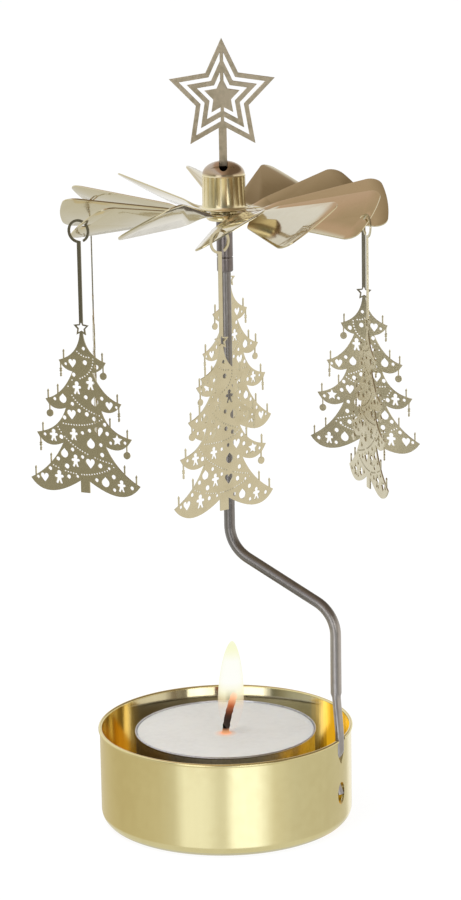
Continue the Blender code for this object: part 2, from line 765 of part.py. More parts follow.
def build_star(material, axis):
    """The star finial: nested stars on a bar, and a stem in the cap's slot."""
    outline = star_points(STAR_RADIUS, STAR_WIDTH_SHARE)
    foot = ROTOR_HEIGHT + SHEET / 2 + SEAT_GAP + CAP_WALL_HEIGHT + CAP_DOME_HEIGHT
    stem_bottom = foot - CAP_WALL - STEM_DEPTH_IN_CAP - STAR_CENTRE_HEIGHT
    half = STEM_WIDTH / 2
    (x4, y4), (x5, y5) = outline[4], outline[5]
    join = y5 + (y4 - y5) * half / x4
    loops = [outline[:5] + [(half, join), (half, stem_bottom), (-half, stem_bottom),
                            (-half, join)] + outline[6:]]
    for outer, inner in (STAR_SHARES[1:3], STAR_SHARES[3:5]):
        for side in (1, -1):
            loops.append(half_gap(outer, inner, side))
    bm = thicken(fill_outline(loops), SHEET)
    star = add_object("star", bm, material, parent=axis)
    star.location = (0, 0, STAR_CENTRE_HEIGHT - ROTOR_HEIGHT)
    star.rotation_euler = (math.pi / 2, 0, 0)
    return star


# Charms

def motif_loop(kind, centre, size):
    """One cut-out of a charm as a loop of points."""
    x0, y0 = centre
    if kind == "circle":
        unit = [(math.cos(math.tau * k / 8), math.sin(math.tau * k / 8)) for k in range(8)]
    elif kind == "drop":
        unit = [(0, DROP_TIP_SHARE)]
        unit += arc_points((0, 0), 1, DROP_SHOULDER, -math.pi - DROP_SHOULDER, 6)
    elif kind == "heart":
        mirrored = [(-x, y) for x, y in reversed(HEART_SHARES[1:-1])]
        unit = list(HEART_SHARES) + mirrored
    else:
        mirrored = [(-x, y) for x, y in reversed(FIGURE_SHARES[1:-1])]
        unit = list(FIGURE_SHARES) + mirrored
    return [(x0 + x * size, y0 + y * size) for x, y in unit]


def tree_point(shares):
    """A point of the tree from shares, down from the foot of the star."""
    across, down = shares
    return (across * TREE_HALF_WIDTH, tree_top() - down * TREE_HEIGHT)


def hook_inner_radius():
    """Inside of the ring hook."""
    return HOOK_RADIUS - HOOK_BAND


def ring_height():
    """Height of the ring's centre over the axis that the charm swings about."""
    return SWING_AXIS_DROP + HOOK_LIFT - hook_inner_radius()


def star_height():
    """Height of the star's centre over the charm's axis."""
    return ring_height() - HOOK_RADIUS - STRAP_LENGTH - CHARM_STAR_RADIUS / 2


def tree_top():
    """Where the tree grows out of the star's foot."""
    return star_height() - CHARM_STAR_RADIUS * STAR_WAIST_SHARE - STRAP_WIDTH / 4


def height_on(points, x):
    """Height of a line of points at x, its points going outwards."""
    for (x0, y0), (x1, y1) in zip(points, points[1:]):
        if x0 <= x <= x1:
            return y0 + (y1 - y0) * (x - x0) / (x1 - x0)
    return points[-1][1]


def stand_candles(points, insets):
    """A slope with thin candles standing on it, each so far in from its end."""
    slope = list(points)
    for inset in insets:
        outer = points[-1][0] - inset
        inner = outer - CANDLE_WIDTH
        top = height_on(points, inner) + CANDLE_HEIGHT
        before = [p for p in slope if p[0] < inner - CANDLE_WIDTH / 4]
        after = [p for p in slope if p[0] > outer + CANDLE_WIDTH / 4]
        slope = before + [(inner, height_on(points, inner)), (inner, top), (outer, top),
                          (outer, height_on(points, outer))] + after
    return slope


def hang_bauble(points):
    """A lobe with a bauble on a short thread under its outer part."""
    x, y = points[1]
    half = BAUBLE_THREAD_WIDTH / 2
    opening = math.asin(half / BAUBLE_RADIUS)
    centre_y = y - BAUBLE_THREAD - BAUBLE_RADIUS
    ball = arc_points((x, centre_y), BAUBLE_RADIUS, math.pi / 2 - opening,
                      opening - math.pi * 3 / 2, BAUBLE_SIDES)
    return points[:1] + [(x + half, y)] + ball + [(x - half, y)] + points[2:]


def tree_side(side):
    """One side of the tree from its apex to its trunk, drawn on the right."""
    points = [(APEX_HALF_WIDTH_SHARE * TREE_HALF_WIDTH, tree_top())]
    for tier, (tip, notch, pull, lobe_pull) in enumerate(TIER_SHARES):
        start = points[-1]
        end = tree_point(tip)
        bend = (start[0] + (end[0] - start[0]) * pull[0],
                start[1] + (end[1] - start[1]) * pull[1])
        slope = [start] + curve_points(start, bend, end, SLOPE_STEPS)
        insets = [share * TREE_HALF_WIDTH for share in CANDLE_SHARES[side][tier]]
        points += stand_candles(slope, insets)[1:]
        foot = tree_point(notch)
        bend = (end[0] + (foot[0] - end[0]) * lobe_pull[0],
                end[1] - lobe_pull[1] * TREE_HEIGHT)
        lobe = [end] + curve_points(end, bend, foot, LOBE_STEPS)
        if tier in BAUBLE_TIERS[side]:
            lobe = hang_bauble(lobe)
        points += lobe[1:]
    points.append((points[-1][0], tree_top() - TREE_HEIGHT))
    return points


def charm_loops():
    """Outline and cut-outs of a charm, with its swing's axis at the origin."""
    ring_centre = (0, ring_height())
    inner = arc_points(ring_centre, hook_inner_radius(), HOOK_START_ANGLE, HOOK_END_ANGLE,
                       HOOK_ARC_STEPS)
    half = STRAP_WIDTH / 2
    merge = math.tau - math.acos(-half / HOOK_RADIUS)
    outer = arc_points(ring_centre, HOOK_RADIUS, merge, HOOK_START_ANGLE, HOOK_ARC_STEPS)
    star = [(x, star_height() + y) for x, y in star_points(CHARM_STAR_RADIUS)]
    strap_top = inner[-1][1] - HOOK_BAND / 4
    right_star = star[1:5]
    left_star = star[6:10]
    right = tree_side(1)
    left = [(-x, y) for x, y in reversed(tree_side(-1))]
    outline = inner + [(half, strap_top), (half, right_star[0][1])] + right_star + right
    outline += left + left_star + [(-half, left_star[-1][1])] + outer
    hollow = [(x, star_height() + y)
              for x, y in star_points(CHARM_STAR_RADIUS * STAR_HOLLOW_SHARE)]
    loops = [outline, hollow]
    for kind, centre, size in MOTIF_SHARES:
        loops.append(motif_loop(kind, tree_point(centre), size * TREE_HALF_WIDTH))
    return loops


def hook_reach():
    """Sideways distance from the ring's middle to where its band passes the sheet."""
    middle_radius = HOOK_RADIUS - HOOK_BAND / 2
    depth = HOOK_BAND / 2 + HOOK_LIFT
    return math.sqrt(depth * (middle_radius * 2 - depth))


def build_charms(material, axis):
    """Six charms, each hooked through the hole of its own blade."""
    flat = thicken(fill_outline(charm_loops()), SHEET)
    mesh = bpy.data.meshes.new("charm")
    flat.to_mesh(mesh)
    flat.free()
    mesh.materials.append(material)
    mesh.shade_smooth()
    mesh.set_sharp_from_angle(angle=math.radians(30))
    spacing = BLADE_COUNT // CHARM_COUNT
    charms = []
    for number in range(CHARM_COUNT):
        index = BLADE_COUNT * 3 // 4 + number * spacing
        bearing = blade_bearing(index)
        hole = bend_blade(hook_hole_place(), blade_rise(index))
        hole.rotate(Matrix.Rotation(bearing, 3, "Z"))
        yaw = bearing + math.radians(CHARM_YAWS[number])
        facing = Vector((math.cos(yaw), math.sin(yaw), 0))
        pivot = hole - facing * hook_reach() - Vector((0, 0, SWING_AXIS_DROP))
        charm = bpy.data.objects.new("charm_" + str(number + 1), mesh)
        bpy.context.collection.objects.link(charm)
        charm.parent = axis
        charm.rotation_euler = (math.pi / 2, 0, yaw)
        charm.location = pivot
        charms.append(charm)
    return charms


# Tealight

def build_tealight_cup(material, base):
    """The thin metal cup of the tealight, with a turned lip."""
    outer, height, wall = TEALIGHT_RADIUS, TEALIGHT_HEIGHT, TEALIGHT_WALL
    skirt = outer - TEALIGHT_LIP
    corner = (skirt - TEALIGHT_CORNER, TEALIGHT_CORNER)
    profile = [(0, 0)]
    profile += arc_points(corner, TEALIGHT_CORNER, -math.pi / 2, 0, 3)
    profile += [(skirt, height - TEALIGHT_LIP * 2), (outer, height - TEALIGHT_LIP),
                (outer, height), (skirt - wall + TEALIGHT_LIP, height),
                (skirt - wall, height - TEALIGHT_LIP)]
    profile += arc_points(corner, TEALIGHT_CORNER - wall, 0, -math.pi / 2, 2)
    profile.append((0, wall))
    return add_object("tealight_cup", lathe(profile, TEALIGHT_SEGMENTS), material, parent=base)


def build_wax(material, base):
    """The wax, dished around the wick and hollow over the wick's foot."""
    bottom = TEALIGHT_WALL + SEAT_GAP
    skirt = TEALIGHT_RADIUS - TEALIGHT_LIP - TEALIGHT_WALL - SEAT_GAP
    chamfer = TEALIGHT_CORNER
    top = TEALIGHT_HEIGHT - WAX_FREEBOARD
    bore = WICK_RADIUS + WICK_COLLAR_WALL + SEAT_GAP * 2
    foot_room = WICK_FOOT_RADIUS + SEAT_GAP
    foot_top = bottom + WICK_FOOT_THICKNESS + SEAT_GAP
    profile = [
        (foot_room, bottom), (skirt - chamfer, bottom), (skirt, bottom + chamfer),
        (skirt, top + SEAT_GAP), (skirt - chamfer, top),
        (skirt / 2, top - WAX_DISH / 2), (bore, top - WAX_DISH),
        (bore, foot_top), (foot_room, foot_top),
    ]
    return add_object("tealight_wax", lathe(profile, TEALIGHT_SEGMENTS, closed=True), material,
                      parent=base)


def build_wick_foot(material, base):
    """The stamped foot that holds the wick upright."""
    bottom = TEALIGHT_WALL + SEAT_GAP
    collar = WICK_RADIUS + SEAT_GAP
    outside = collar + WICK_COLLAR_WALL - SEAT_GAP
    top = bottom + WICK_COLLAR_HEIGHT
    profile = [
        (collar, bottom), (WICK_FOOT_RADIUS, bottom),
        (WICK_FOOT_RADIUS, bottom + WICK_FOOT_THICKNESS),
        (outside, bottom + WICK_FOOT_THICKNESS), (outside, top), (collar, top),
    ]
    return add_object("wick_foot", lathe(profile, EYELET_SEGMENTS, closed=True), material,
                      parent=base)


def build_wick(material, base):
    """The wick: straight in the wax, curled over above it."""
    bottom = TEALIGHT_WALL + SEAT_GAP
    surface = TEALIGHT_HEIGHT - WAX_FREEBOARD - WAX_DISH
    route = [(0, bottom), (0, surface)]
    for step in range(1, 6):
        share = step / 5
        route.append((WICK_LEAN * share * share, surface + WICK_HEIGHT * share))
    bm = bmesh.new()
    rings = []
    for index, (x, z) in enumerate(route):
        radius = WICK_RADIUS
        if index == len(route) - 1:
            radius *= WICK_TIP_SHARE
        circle = arc_points((x, 0), radius, 0, math.tau, WICK_SIDES)[:-1]
        rings.append([bm.verts.new((cx, cy, z)) for cx, cy in circle])
    for ring, following in zip(rings, rings[1:]):
        for k in range(WICK_SIDES):
            turned = (k + 1) % WICK_SIDES
            bm.faces.new((ring[k], ring[turned], following[turned], following[k]))
    bm.faces.new(rings[0])
    bm.faces.new(rings[-1])
    return add_object("wick", close_solid(bm), material, parent=base)


def build_carousel():
    """Build every piece of the carousel."""
    clear_scene()
    brass = make_material("polished_brass", (0.72, 0.60, 0.33), 0.16, 1.0)
    blade_brass = make_material("blade_brass", (0.70, 0.62, 0.42), 0.22, 1.0)
    etched = make_material("etched_brass", (0.62, 0.54, 0.34), 0.30, 1.0)
    steel = make_material("satin_steel", (0.36, 0.34, 0.32), 0.35, 1.0)
    dark_steel = make_material("dark_steel", (0.25, 0.23, 0.22), 0.32, 1.0)
    aluminium = make_material("tealight_aluminium", (0.70, 0.70, 0.70), 0.30, 1.0)
    wax = make_material("tealight_wax_white", (0.80, 0.78, 0.72), 0.45, 0.0)
    char = make_material("wick_char", (0.05, 0.04, 0.035), 0.9, 0.0)

    build_cup(brass)
    build_post(steel)
    build_sleeve(dark_steel)
    build_needle(steel)

    rotor_axis = add_empty("rotor_axis", on_post_axis(ROTOR_HEIGHT))
    build_rotor(blade_brass, rotor_axis)
    build_cap(brass, rotor_axis)
    build_eyelet(brass, rotor_axis)
    build_insert(dark_steel, rotor_axis)
    build_star(etched, rotor_axis)
    build_charms(etched, rotor_axis)

    tealight_base = add_empty("tealight_base", (0, 0, CUP_WALL + SEAT_GAP))
    build_tealight_cup(aluminium, tealight_base)
    build_wax(wax, tealight_base)
    build_wick_foot(aluminium, tealight_base)
    build_wick(char, tealight_base)


build_carousel()
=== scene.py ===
"""Candle carousel: the finished looks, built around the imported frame.

A pressed brass cup holds a burning tealight. A bent steel post stands in the
cup's wall and carries a needle. A rotor of pitched blades turns on it, under
a domed hub with a star, and etched tree charms hang from the blades.

Metres, +Z up, the origin at the middle of the cup's underside.
"""

import json
import logging
import math
from dataclasses import dataclass
from enum import Enum
from typing import Iterable, Iterator, Sequence

import bmesh
import bpy
from mathutils import Matrix, Vector


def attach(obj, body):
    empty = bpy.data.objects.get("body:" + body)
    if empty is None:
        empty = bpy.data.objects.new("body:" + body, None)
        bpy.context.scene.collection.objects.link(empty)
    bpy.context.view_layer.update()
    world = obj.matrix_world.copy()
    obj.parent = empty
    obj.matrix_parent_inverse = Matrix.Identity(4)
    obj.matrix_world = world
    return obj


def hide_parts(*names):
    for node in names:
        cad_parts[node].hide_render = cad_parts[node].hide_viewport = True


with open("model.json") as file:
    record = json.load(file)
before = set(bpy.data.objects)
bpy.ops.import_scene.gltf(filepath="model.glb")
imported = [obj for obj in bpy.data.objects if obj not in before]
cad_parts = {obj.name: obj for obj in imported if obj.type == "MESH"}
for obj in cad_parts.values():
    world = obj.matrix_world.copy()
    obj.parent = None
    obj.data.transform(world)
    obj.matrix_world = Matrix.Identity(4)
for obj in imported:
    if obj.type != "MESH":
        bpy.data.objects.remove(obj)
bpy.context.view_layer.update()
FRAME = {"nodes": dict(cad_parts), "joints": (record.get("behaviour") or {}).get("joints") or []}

LOG = logging.getLogger("carousel")
WELD = 2e-7
WHITE = (1.0, 1.0, 1.0, 1.0)
BLACK = (0.0, 0.0, 0.0, 1.0)
PLAN = (1.0, 1.0, 0.0)

CUP_HEIGHT = 0.0205
POST_AZIMUTH = math.radians(-25.5)
ROTOR_PHASE = math.radians(1.9)

Point = tuple[float, float]
Tint = tuple[float, float, float]
Stops = tuple[tuple[float, Tint], ...]
Stations = list[tuple[Matrix, float, float]]
BMesh = bmesh.types.BMesh
Item = bpy.types.Object
Material = bpy.types.Material
Socket = bpy.types.NodeSocket


class Part(Enum):
    """The rigid bodies that the pieces ride on."""

    STAND = "stand"
    ROTOR = "rotor"
    TEALIGHT = "tealight"


# Outlines


def arc(centre: Point, radius: float, start: float, end: float, steps: int) -> list[Point]:
    """Points on a circular arc between two angles, both ends included."""
    angles = [start + (end - start) * k / steps for k in range(steps + 1)]
    return [(centre[0] + radius * math.cos(a), centre[1] + radius * math.sin(a)) for a in angles]


def circle(centre: Point, radius: float, steps: int) -> list[Point]:
    """Points all round a circle."""
    return arc(centre, radius, 0, math.tau, steps)[:-1]


def curve(start: Point, pull: Point, end: Point, steps: int) -> list[Point]:
    """Points on a quadratic curve.

    Args:
        start: first point.
        pull: the point that the curve leans towards.
        end: last point.
        steps: number of steps.

    Returns:
        The points without the first one.
    """
    found = []
    for k in range(1, steps + 1):
        t = k / steps
        first, middle, last = (1 - t) ** 2, 2 * t * (1 - t), t * t
        found.append((first * start[0] + middle * pull[0] + last * end[0],
                      first * start[1] + middle * pull[1] + last * end[1]))
    return found


def mirrored(points: Sequence[Point]) -> list[Point]:
    """A line's mirror image across the upright axis, drawn backwards."""
    return [(-x, y) for x, y in reversed(points)]


def star_corners(waist_share: float, tips: int = 5) -> list[Point]:
    """Corners of a star whose first tip stands straight up, one unit from its middle.

    Args:
        waist_share: reach of its inner corners.
        tips: number of its tips.

    Returns:
        Tips and inner corners in turn, clockwise.
    """
    found = []
    for k in range(2 * tips):
        reach = waist_share if k % 2 else 1.0
        angle = math.pi / 2 - math.pi * k / tips
        found.append((reach * math.cos(angle), reach * math.sin(angle)))
    return found


def clip(value: float) -> float:
    """A value held between 0 and 1."""
    return min(1.0, max(0.0, value))


def ease(share: float) -> float:
    """A share from 0 to 1 with a gentle start and end."""
    return share * share * (3 - 2 * share)


# Mesh helpers


def close_up(bm: BMesh) -> BMesh:
    """Merge doubled points and turn the faces outwards.

    Args:
        bm: the surface.

    Returns:
        The same surface.
    """
    bmesh.ops.remove_doubles(bm, verts=bm.verts, dist=WELD)
    bmesh.ops.recalc_face_normals(bm, faces=bm.faces)
    return bm


def shifted(bm: BMesh, by: Vector) -> BMesh:
    """Move a whole shape."""
    bmesh.ops.translate(bm, verts=bm.verts, vec=by)
    return bm


def new_verts(made: dict) -> list[bmesh.types.BMVert]:
    """The vertices that an extrusion has made."""
    return [item for item in made["geom"] if isinstance(item, bmesh.types.BMVert)]


def spot(vert: bmesh.types.BMVert) -> tuple[float, ...]:
    """A vertex's place, rounded so that it can be looked up."""
    return tuple(round(c, 9) for c in vert.co)


def lathe(profile: Sequence[Point], segments: int, closed: bool = False) -> BMesh:
    """Spin a half section about Z.

    Args:
        profile: points of (radius, height).
        segments: steps of the full turn.
        closed: whether the last point joins the first.

    Returns:
        The closed surface.
    """
    bm = bmesh.new()
    verts = [bm.verts.new((radius, 0, height)) for radius, height in profile]
    pairs = list(zip(verts, verts[1:]))
    if closed:
        pairs.append((verts[-1], verts[0]))
    edges = [bm.edges.new(pair) for pair in pairs]
    bmesh.ops.spin(
        bm, geom=verts + edges, cent=(0, 0, 0), axis=(0, 0, 1),
        angle=math.tau, steps=segments, use_merge=True,
    )
    return close_up(bm)


def fill(loops: Iterable[Sequence[Point]]) -> BMesh:
    """Fill an outline with its holes in the XY plane.

    Args:
        loops: the outline and the holes, each a closed loop of points.

    Returns:
        The flat surface.
    """
    bm = bmesh.new()
    edges = []
    for loop in loops:
        verts = [bm.verts.new((x, y, 0)) for x, y in loop]
        for k, vert in enumerate(verts):
            edges.append(bm.edges.new((vert, verts[(k + 1) % len(verts)])))
    bmesh.ops.triangle_fill(bm, edges=edges, use_beauty=True)
    bmesh.ops.recalc_face_normals(bm, faces=bm.faces)
    return bm


def thicken(bm: BMesh, thickness: float) -> BMesh:
    """Extrude a flat surface to a sheet about its own plane.

    Args:
        bm: the flat surface.
        thickness: the sheet's thickness.

    Returns:
        The closed sheet.
    """
    shifted(bm, Vector((0, 0, -thickness / 2)))
    made = bmesh.ops.extrude_face_region(bm, geom=bm.faces[:], use_keep_orig=True)
    bmesh.ops.translate(bm, verts=new_verts(made), vec=(0, 0, thickness))
    return close_up(bm)


def sweep(stations: Stations, sides: int) -> BMesh:
    """Carry an oval section along a route.

    Args:
        stations: place of each section, with its half sizes.
        sides: points round the section.

    Returns:
        The closed rod.
    """
    bm = bmesh.new()
    ring = bmesh.ops.create_circle(bm, cap_ends=False, radius=1, segments=sides)["verts"]
    unit = [vert.co.copy() for vert in ring]
    for step, (place, half_x, half_y) in enumerate(stations):
        if step:
            edges = [e for e in bm.edges if e.verts[0] in ring and e.verts[1] in ring]
            made = bmesh.ops.extrude_edge_only(bm, edges=edges)
            nearest = {spot(vert): vert for vert in new_verts(made)}
            ring = [nearest[spot(vert)] for vert in ring]
        for vert, at in zip(ring, unit):
            vert.co = place @ Vector((at.x * half_x, at.y * half_y, 0))
    bmesh.ops.holes_fill(bm, edges=bm.edges, sides=sides)
    return close_up(bm)


def to_mesh(name: str, bm: BMesh) -> bpy.types.Mesh:
    """Keep a shape as a mesh.

    Args:
        name: the mesh's name.
        bm: the shape, which is freed.

    Returns:
        The mesh.
    """
    mesh = bpy.data.meshes.new(name)
    bm.to_mesh(mesh)
    bm.free()
    return mesh


def new_object(name: str, data: bpy.types.ID) -> Item:
    """Put a new object into the scene.

    Args:
        name: the object's name.
        data: its mesh, camera or lamp.

    Returns:
        The object.
    """
    item = bpy.data.objects.new(name, data)
    bpy.context.scene.collection.objects.link(item)
    return item


def smooth(mesh: bpy.types.Mesh, sharp: float) -> None:
    """Shade a mesh smooth, but for edges that turn by more degrees than sharp."""
    mesh.shade_smooth()
    mesh.set_sharp_from_angle(angle=math.radians(sharp))


def make_piece(name: str, bm: BMesh, material: Material, sharp: float = 32.0) -> Item:
    """Turn a bmesh into a shaded object at the origin.

    Args:
        name: the piece's name.
        bm: its mesh, which is freed.
        material: its finish.
        sharp: edges that turn by more degrees than this stay sharp.

    Returns:
        The object.
    """
    mesh = to_mesh(name, bm)
    smooth(mesh, sharp)
    mesh.materials.append(material)
    return new_object(name, mesh)


def carve(item: Item, cutters: Sequence[BMesh], sharp: float = 32.0) -> None:
    """Cut closed shapes out of a piece for good.

    Args:
        item: the piece.
        cutters: the closed shapes, which are freed.
        sharp: edges that turn by more degrees than this stay sharp.
    """
    tools = [new_object(f"cutter_{k}", to_mesh("cutter", bm)) for k, bm in enumerate(cutters)]
    for tool in tools:
        cut = item.modifiers.new("cut", "BOOLEAN")
        cut.operation = "DIFFERENCE"
        cut.solver = "EXACT"
        cut.object = tool
    graph = bpy.context.evaluated_depsgraph_get()
    mesh = bpy.data.meshes.new_from_object(item.evaluated_get(graph))
    item.modifiers.clear()
    item.data = mesh
    smooth(mesh, sharp)
    for tool in tools:
        bpy.data.objects.remove(tool, do_unlink=True)


def soften(item: Item, width: float) -> None:
    """Round the sharp edges of a piece a little.

    Args:
        item: the piece.
        width: width of the rounding.
    """
    bevel = item.modifiers.new("edges", "BEVEL")
    bevel.width = width
    bevel.segments = 2
    bevel.limit_method = "ANGLE"
    bevel.angle_limit = math.radians(45)
    bevel.harden_normals = False


def dress(node: str, material: Material) -> None:
    """Give a CAD node that the scene keeps its finish.

    Args:
        node: the node's name.
        material: its finish.
    """
    slots = FRAME["nodes"][node].data.materials
    slots.clear()
    slots.append(material)


def seat(item: Item, body: str, slot: str | None, *nodes: str) -> None:
    """Put a piece on its body and hide the CAD nodes that it stands for.

    Args:
        item: the piece.
        body: the body that it rides on.
        slot: the record's material slot, if it has one; not used.
        nodes: the CAD nodes that it stands for.
    """
    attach(item, body)
    if nodes:
        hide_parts(*nodes)
    LOG.info("%s rides on %s with %d faces", item.name, body, len(item.data.polygons))


# Shader helpers


class Nodes:
    """Adds and joins the nodes of one shader tree."""

    def __init__(self, tree: bpy.types.NodeTree) -> None:
        """Keep the tree."""
        self.tree = tree

    def feed(self, node: bpy.types.Node, inputs: dict) -> bpy.types.Node:
        """Join or set a node's inputs.

        Args:
            node: the node.
            inputs: sockets or values, by the input's name or number.

        Returns:
            The node.
        """
        for key, value in inputs.items():
            if isinstance(value, Socket):
                self.tree.links.new(value, node.inputs[key])
            else:
                node.inputs[key].default_value = value
        return node

    def add(self, kind: str, inputs: dict | None = None, **settings: object) -> bpy.types.Node:
        """Add a node.

        Args:
            kind: the node's type, without the word ShaderNode.
            inputs: sockets or values for its inputs, by name or number.
            settings: its properties.

        Returns:
            The node.
        """
        node = self.tree.nodes.new("ShaderNode" + kind)
        for key, value in settings.items():
            setattr(node, key, value)
        return self.feed(node, inputs or {})

    def principled(self, inputs: dict) -> None:
        """Join or set the inputs of the material's own shader."""
        self.feed(self.tree.nodes["Principled BSDF"], inputs)

    def source(self, name: str) -> Socket:
        """What feeds an input of the material's own shader so far."""
        return self.tree.nodes["Principled BSDF"].inputs[name].links[0].from_socket

    def place(self, space: str = "Object") -> Socket:
        """The place on the piece."""
        return self.add("TexCoord").outputs[space]

    def split(self, vector: Socket) -> bpy.types.NodeOutputs:
        """The three parts of a vector."""
        return self.add("SeparateXYZ", {0: vector}).outputs

    def scaled(self, vector: Socket, scale: Tint) -> Socket:
        """A vector with each part scaled by itself."""
        return self.add("Mapping", {"Vector": vector, "Scale": scale}).outputs[0]

    def math(self, operation: str, first: object, second: object = 0.0) -> Socket:
        """Join two values by one operation."""
        return self.add("Math", {0: first, 1: second}, operation=operation).outputs[0]

    def product(self, first: object, *others: object) -> Socket:
        """Multiply values.

        Args:
            first: socket or value.
            others: more of them.

        Returns:
            The product's socket.
        """
        for other in others:
            first = self.math("MULTIPLY", first, other)
        return first

    def remap(
        self, value: Socket, start: float, end: float, low: float = 0.0, high: float = 1.0
    ) -> Socket:
        """Map the range from start to end onto the one from low to high, and stay in it."""
        return self.add("MapRange", {0: value, 1: start, 2: end, 3: low, 4: high}).outputs[0]

    def noise(
        self, vector: Socket, scale: object, detail: float,
        roughness: float = 0.5, distortion: float = 0.0,
    ) -> Socket:
        """Cloudy noise from 0 to 1.

        Args:
            vector: where it is read.
            scale: how fine it is.
            detail: number of its finer layers.
            roughness: how strong these are.
            distortion: how far they are drawn out.

        Returns:
            The noise's socket.
        """
        inputs = {"Vector": vector, "Scale": scale, "Detail": detail,
                  "Roughness": roughness, "Distortion": distortion}
        return self.add("TexNoise", inputs).outputs[0]

    def effect(
        self, name: str, vector: Socket, scale: float, **others: float
    ) -> bpy.types.NodeOutputs:
        """Place one of the shared effects, how fine it is, and its other inputs."""
        return self.add("Group", {"Vector": vector, "Scale": scale, **others},
                        node_tree=bpy.data.node_groups[name]).outputs

    def bump(self, height: Socket, strength: float, distance: float) -> Socket:
        """The normal of a surface with fine relief."""
        return self.add("Bump", {"Height": height, "Strength": strength,
                                 "Distance": distance}).outputs[0]

    def ramp(self, value: Socket, stops: Stops) -> Socket:
        """Colours along a value.

        Args:
            value: the socket that is read.
            stops: places from 0 to 1 with their colours.

        Returns:
            The colour's socket.
        """
        node = self.add("ValToRGB", {0: value})
        marks = node.color_ramp.elements
        while len(marks) < len(stops):
            marks.new(1.0)
        for mark, (place, colour) in zip(marks, stops):
            mark.position = place
            mark.color = (*colour, 1.0)
        return node.outputs["Color"]

    def compass(self, x: Socket, y: Socket, stops: Stops) -> Socket:
        """Colours all round the middle.

        Args:
            x: how far right.
            y: how far back.
            stops: bearings in degrees to the right of the front, with their colours.

        Returns:
            The colour's socket.
        """
        bearing = self.math("ARCTAN2", x, self.product(y, -1.0))
        turn = self.remap(bearing, -math.pi, math.pi)
        return self.ramp(turn, tuple(((deg + 180.0) / 360.0, colour) for deg, colour in stops))

    def between(self, share: Socket, first: Socket, second: Socket) -> Socket:
        """Blend two values."""
        return self.add("Mix", {0: share, 2: first, 3: second}).outputs[0]

    def blend(
        self, share: object, first: object, second: object, kind: str = "MIX"
    ) -> Socket:
        """Blend two colours, the share being that of the second one."""
        node = self.add("Mix", {0: share, 6: first, 7: second}, data_type="RGBA", blend_type=kind)
        return node.outputs[2]


def start_material(name: str, empty: bool = False) -> tuple[Material, Nodes]:
    """Start a material.

    Args:
        name: its name.
        empty: whether it starts without the usual shader.

    Returns:
        The material and the helper for its nodes.
    """
    material = bpy.data.materials.new(name)
    material.use_nodes = True
    if empty:
        material.node_tree.nodes.clear()
    return material, Nodes(material.node_tree)


def start_group(
    name: str, inputs: dict[str, float], outputs: Sequence[str]
) -> tuple[Nodes, bpy.types.Node, bpy.types.Node]:
    """Start a shared effect that reads a vector and some numbers.

    Args:
        name: the group's name.
        inputs: name and default of each number.
        outputs: name of each number that it puts out.

    Returns:
        The helper for its nodes, its input node and its output node.
    """
    tree = bpy.data.node_groups.new(name, "ShaderNodeTree")
    tree.interface.new_socket("Vector", in_out="INPUT", socket_type="NodeSocketVector")
    for label, default in inputs.items():
        socket = tree.interface.new_socket(label, in_out="INPUT", socket_type="NodeSocketFloat")
        socket.default_value = default
    for label in outputs:
        tree.interface.new_socket(label, in_out="OUTPUT", socket_type="NodeSocketFloat")
    return Nodes(tree), tree.nodes.new("NodeGroupInput"), tree.nodes.new("NodeGroupOutput")


def build_grain_group() -> None:
    """Fine rolling lines that run along the stretched axis."""
    nodes, start, end = start_group("rolling_grain", {"Scale": 900.0}, ("Mask", "Height"))
    vector, scale = start.outputs[:2]
    lines = nodes.noise(vector, scale, detail=6.0, roughness=0.65)
    nodes.feed(end, {"Mask": nodes.add("Clamp", {0: lines}).outputs[0], "Height": lines})


def build_smudge_group() -> None:
    """Broad soft marks, as fingers and cleaning leave on bright metal."""
    specks_per_mark = 6.0
    clean, marked = 0.18, 0.38
    nodes, start, end = start_group(
        "smudges", {"Scale": 60.0, "Amount": 0.5}, ("Mask", "Height"),
    )
    vector, scale, amount = start.outputs[:3]
    broad = nodes.noise(vector, scale, detail=3.0, distortion=0.6)
    specks = nodes.noise(vector, nodes.product(scale, specks_per_mark), detail=5.0)
    marks = nodes.remap(nodes.product(broad, specks), clean, marked)
    nodes.feed(end, {"Mask": nodes.product(marks, amount), "Height": broad})


def build_ripple_group() -> None:
    """Long waves of a sheet that isn't quite flat."""
    nodes, start, end = start_group("sheet_ripple", {"Scale": 40.0}, ("Height",))
    vector, scale = start.outputs[:2]
    nodes.feed(end, {"Height": nodes.noise(vector, scale, detail=1.0, roughness=0.3)})


# Finishes


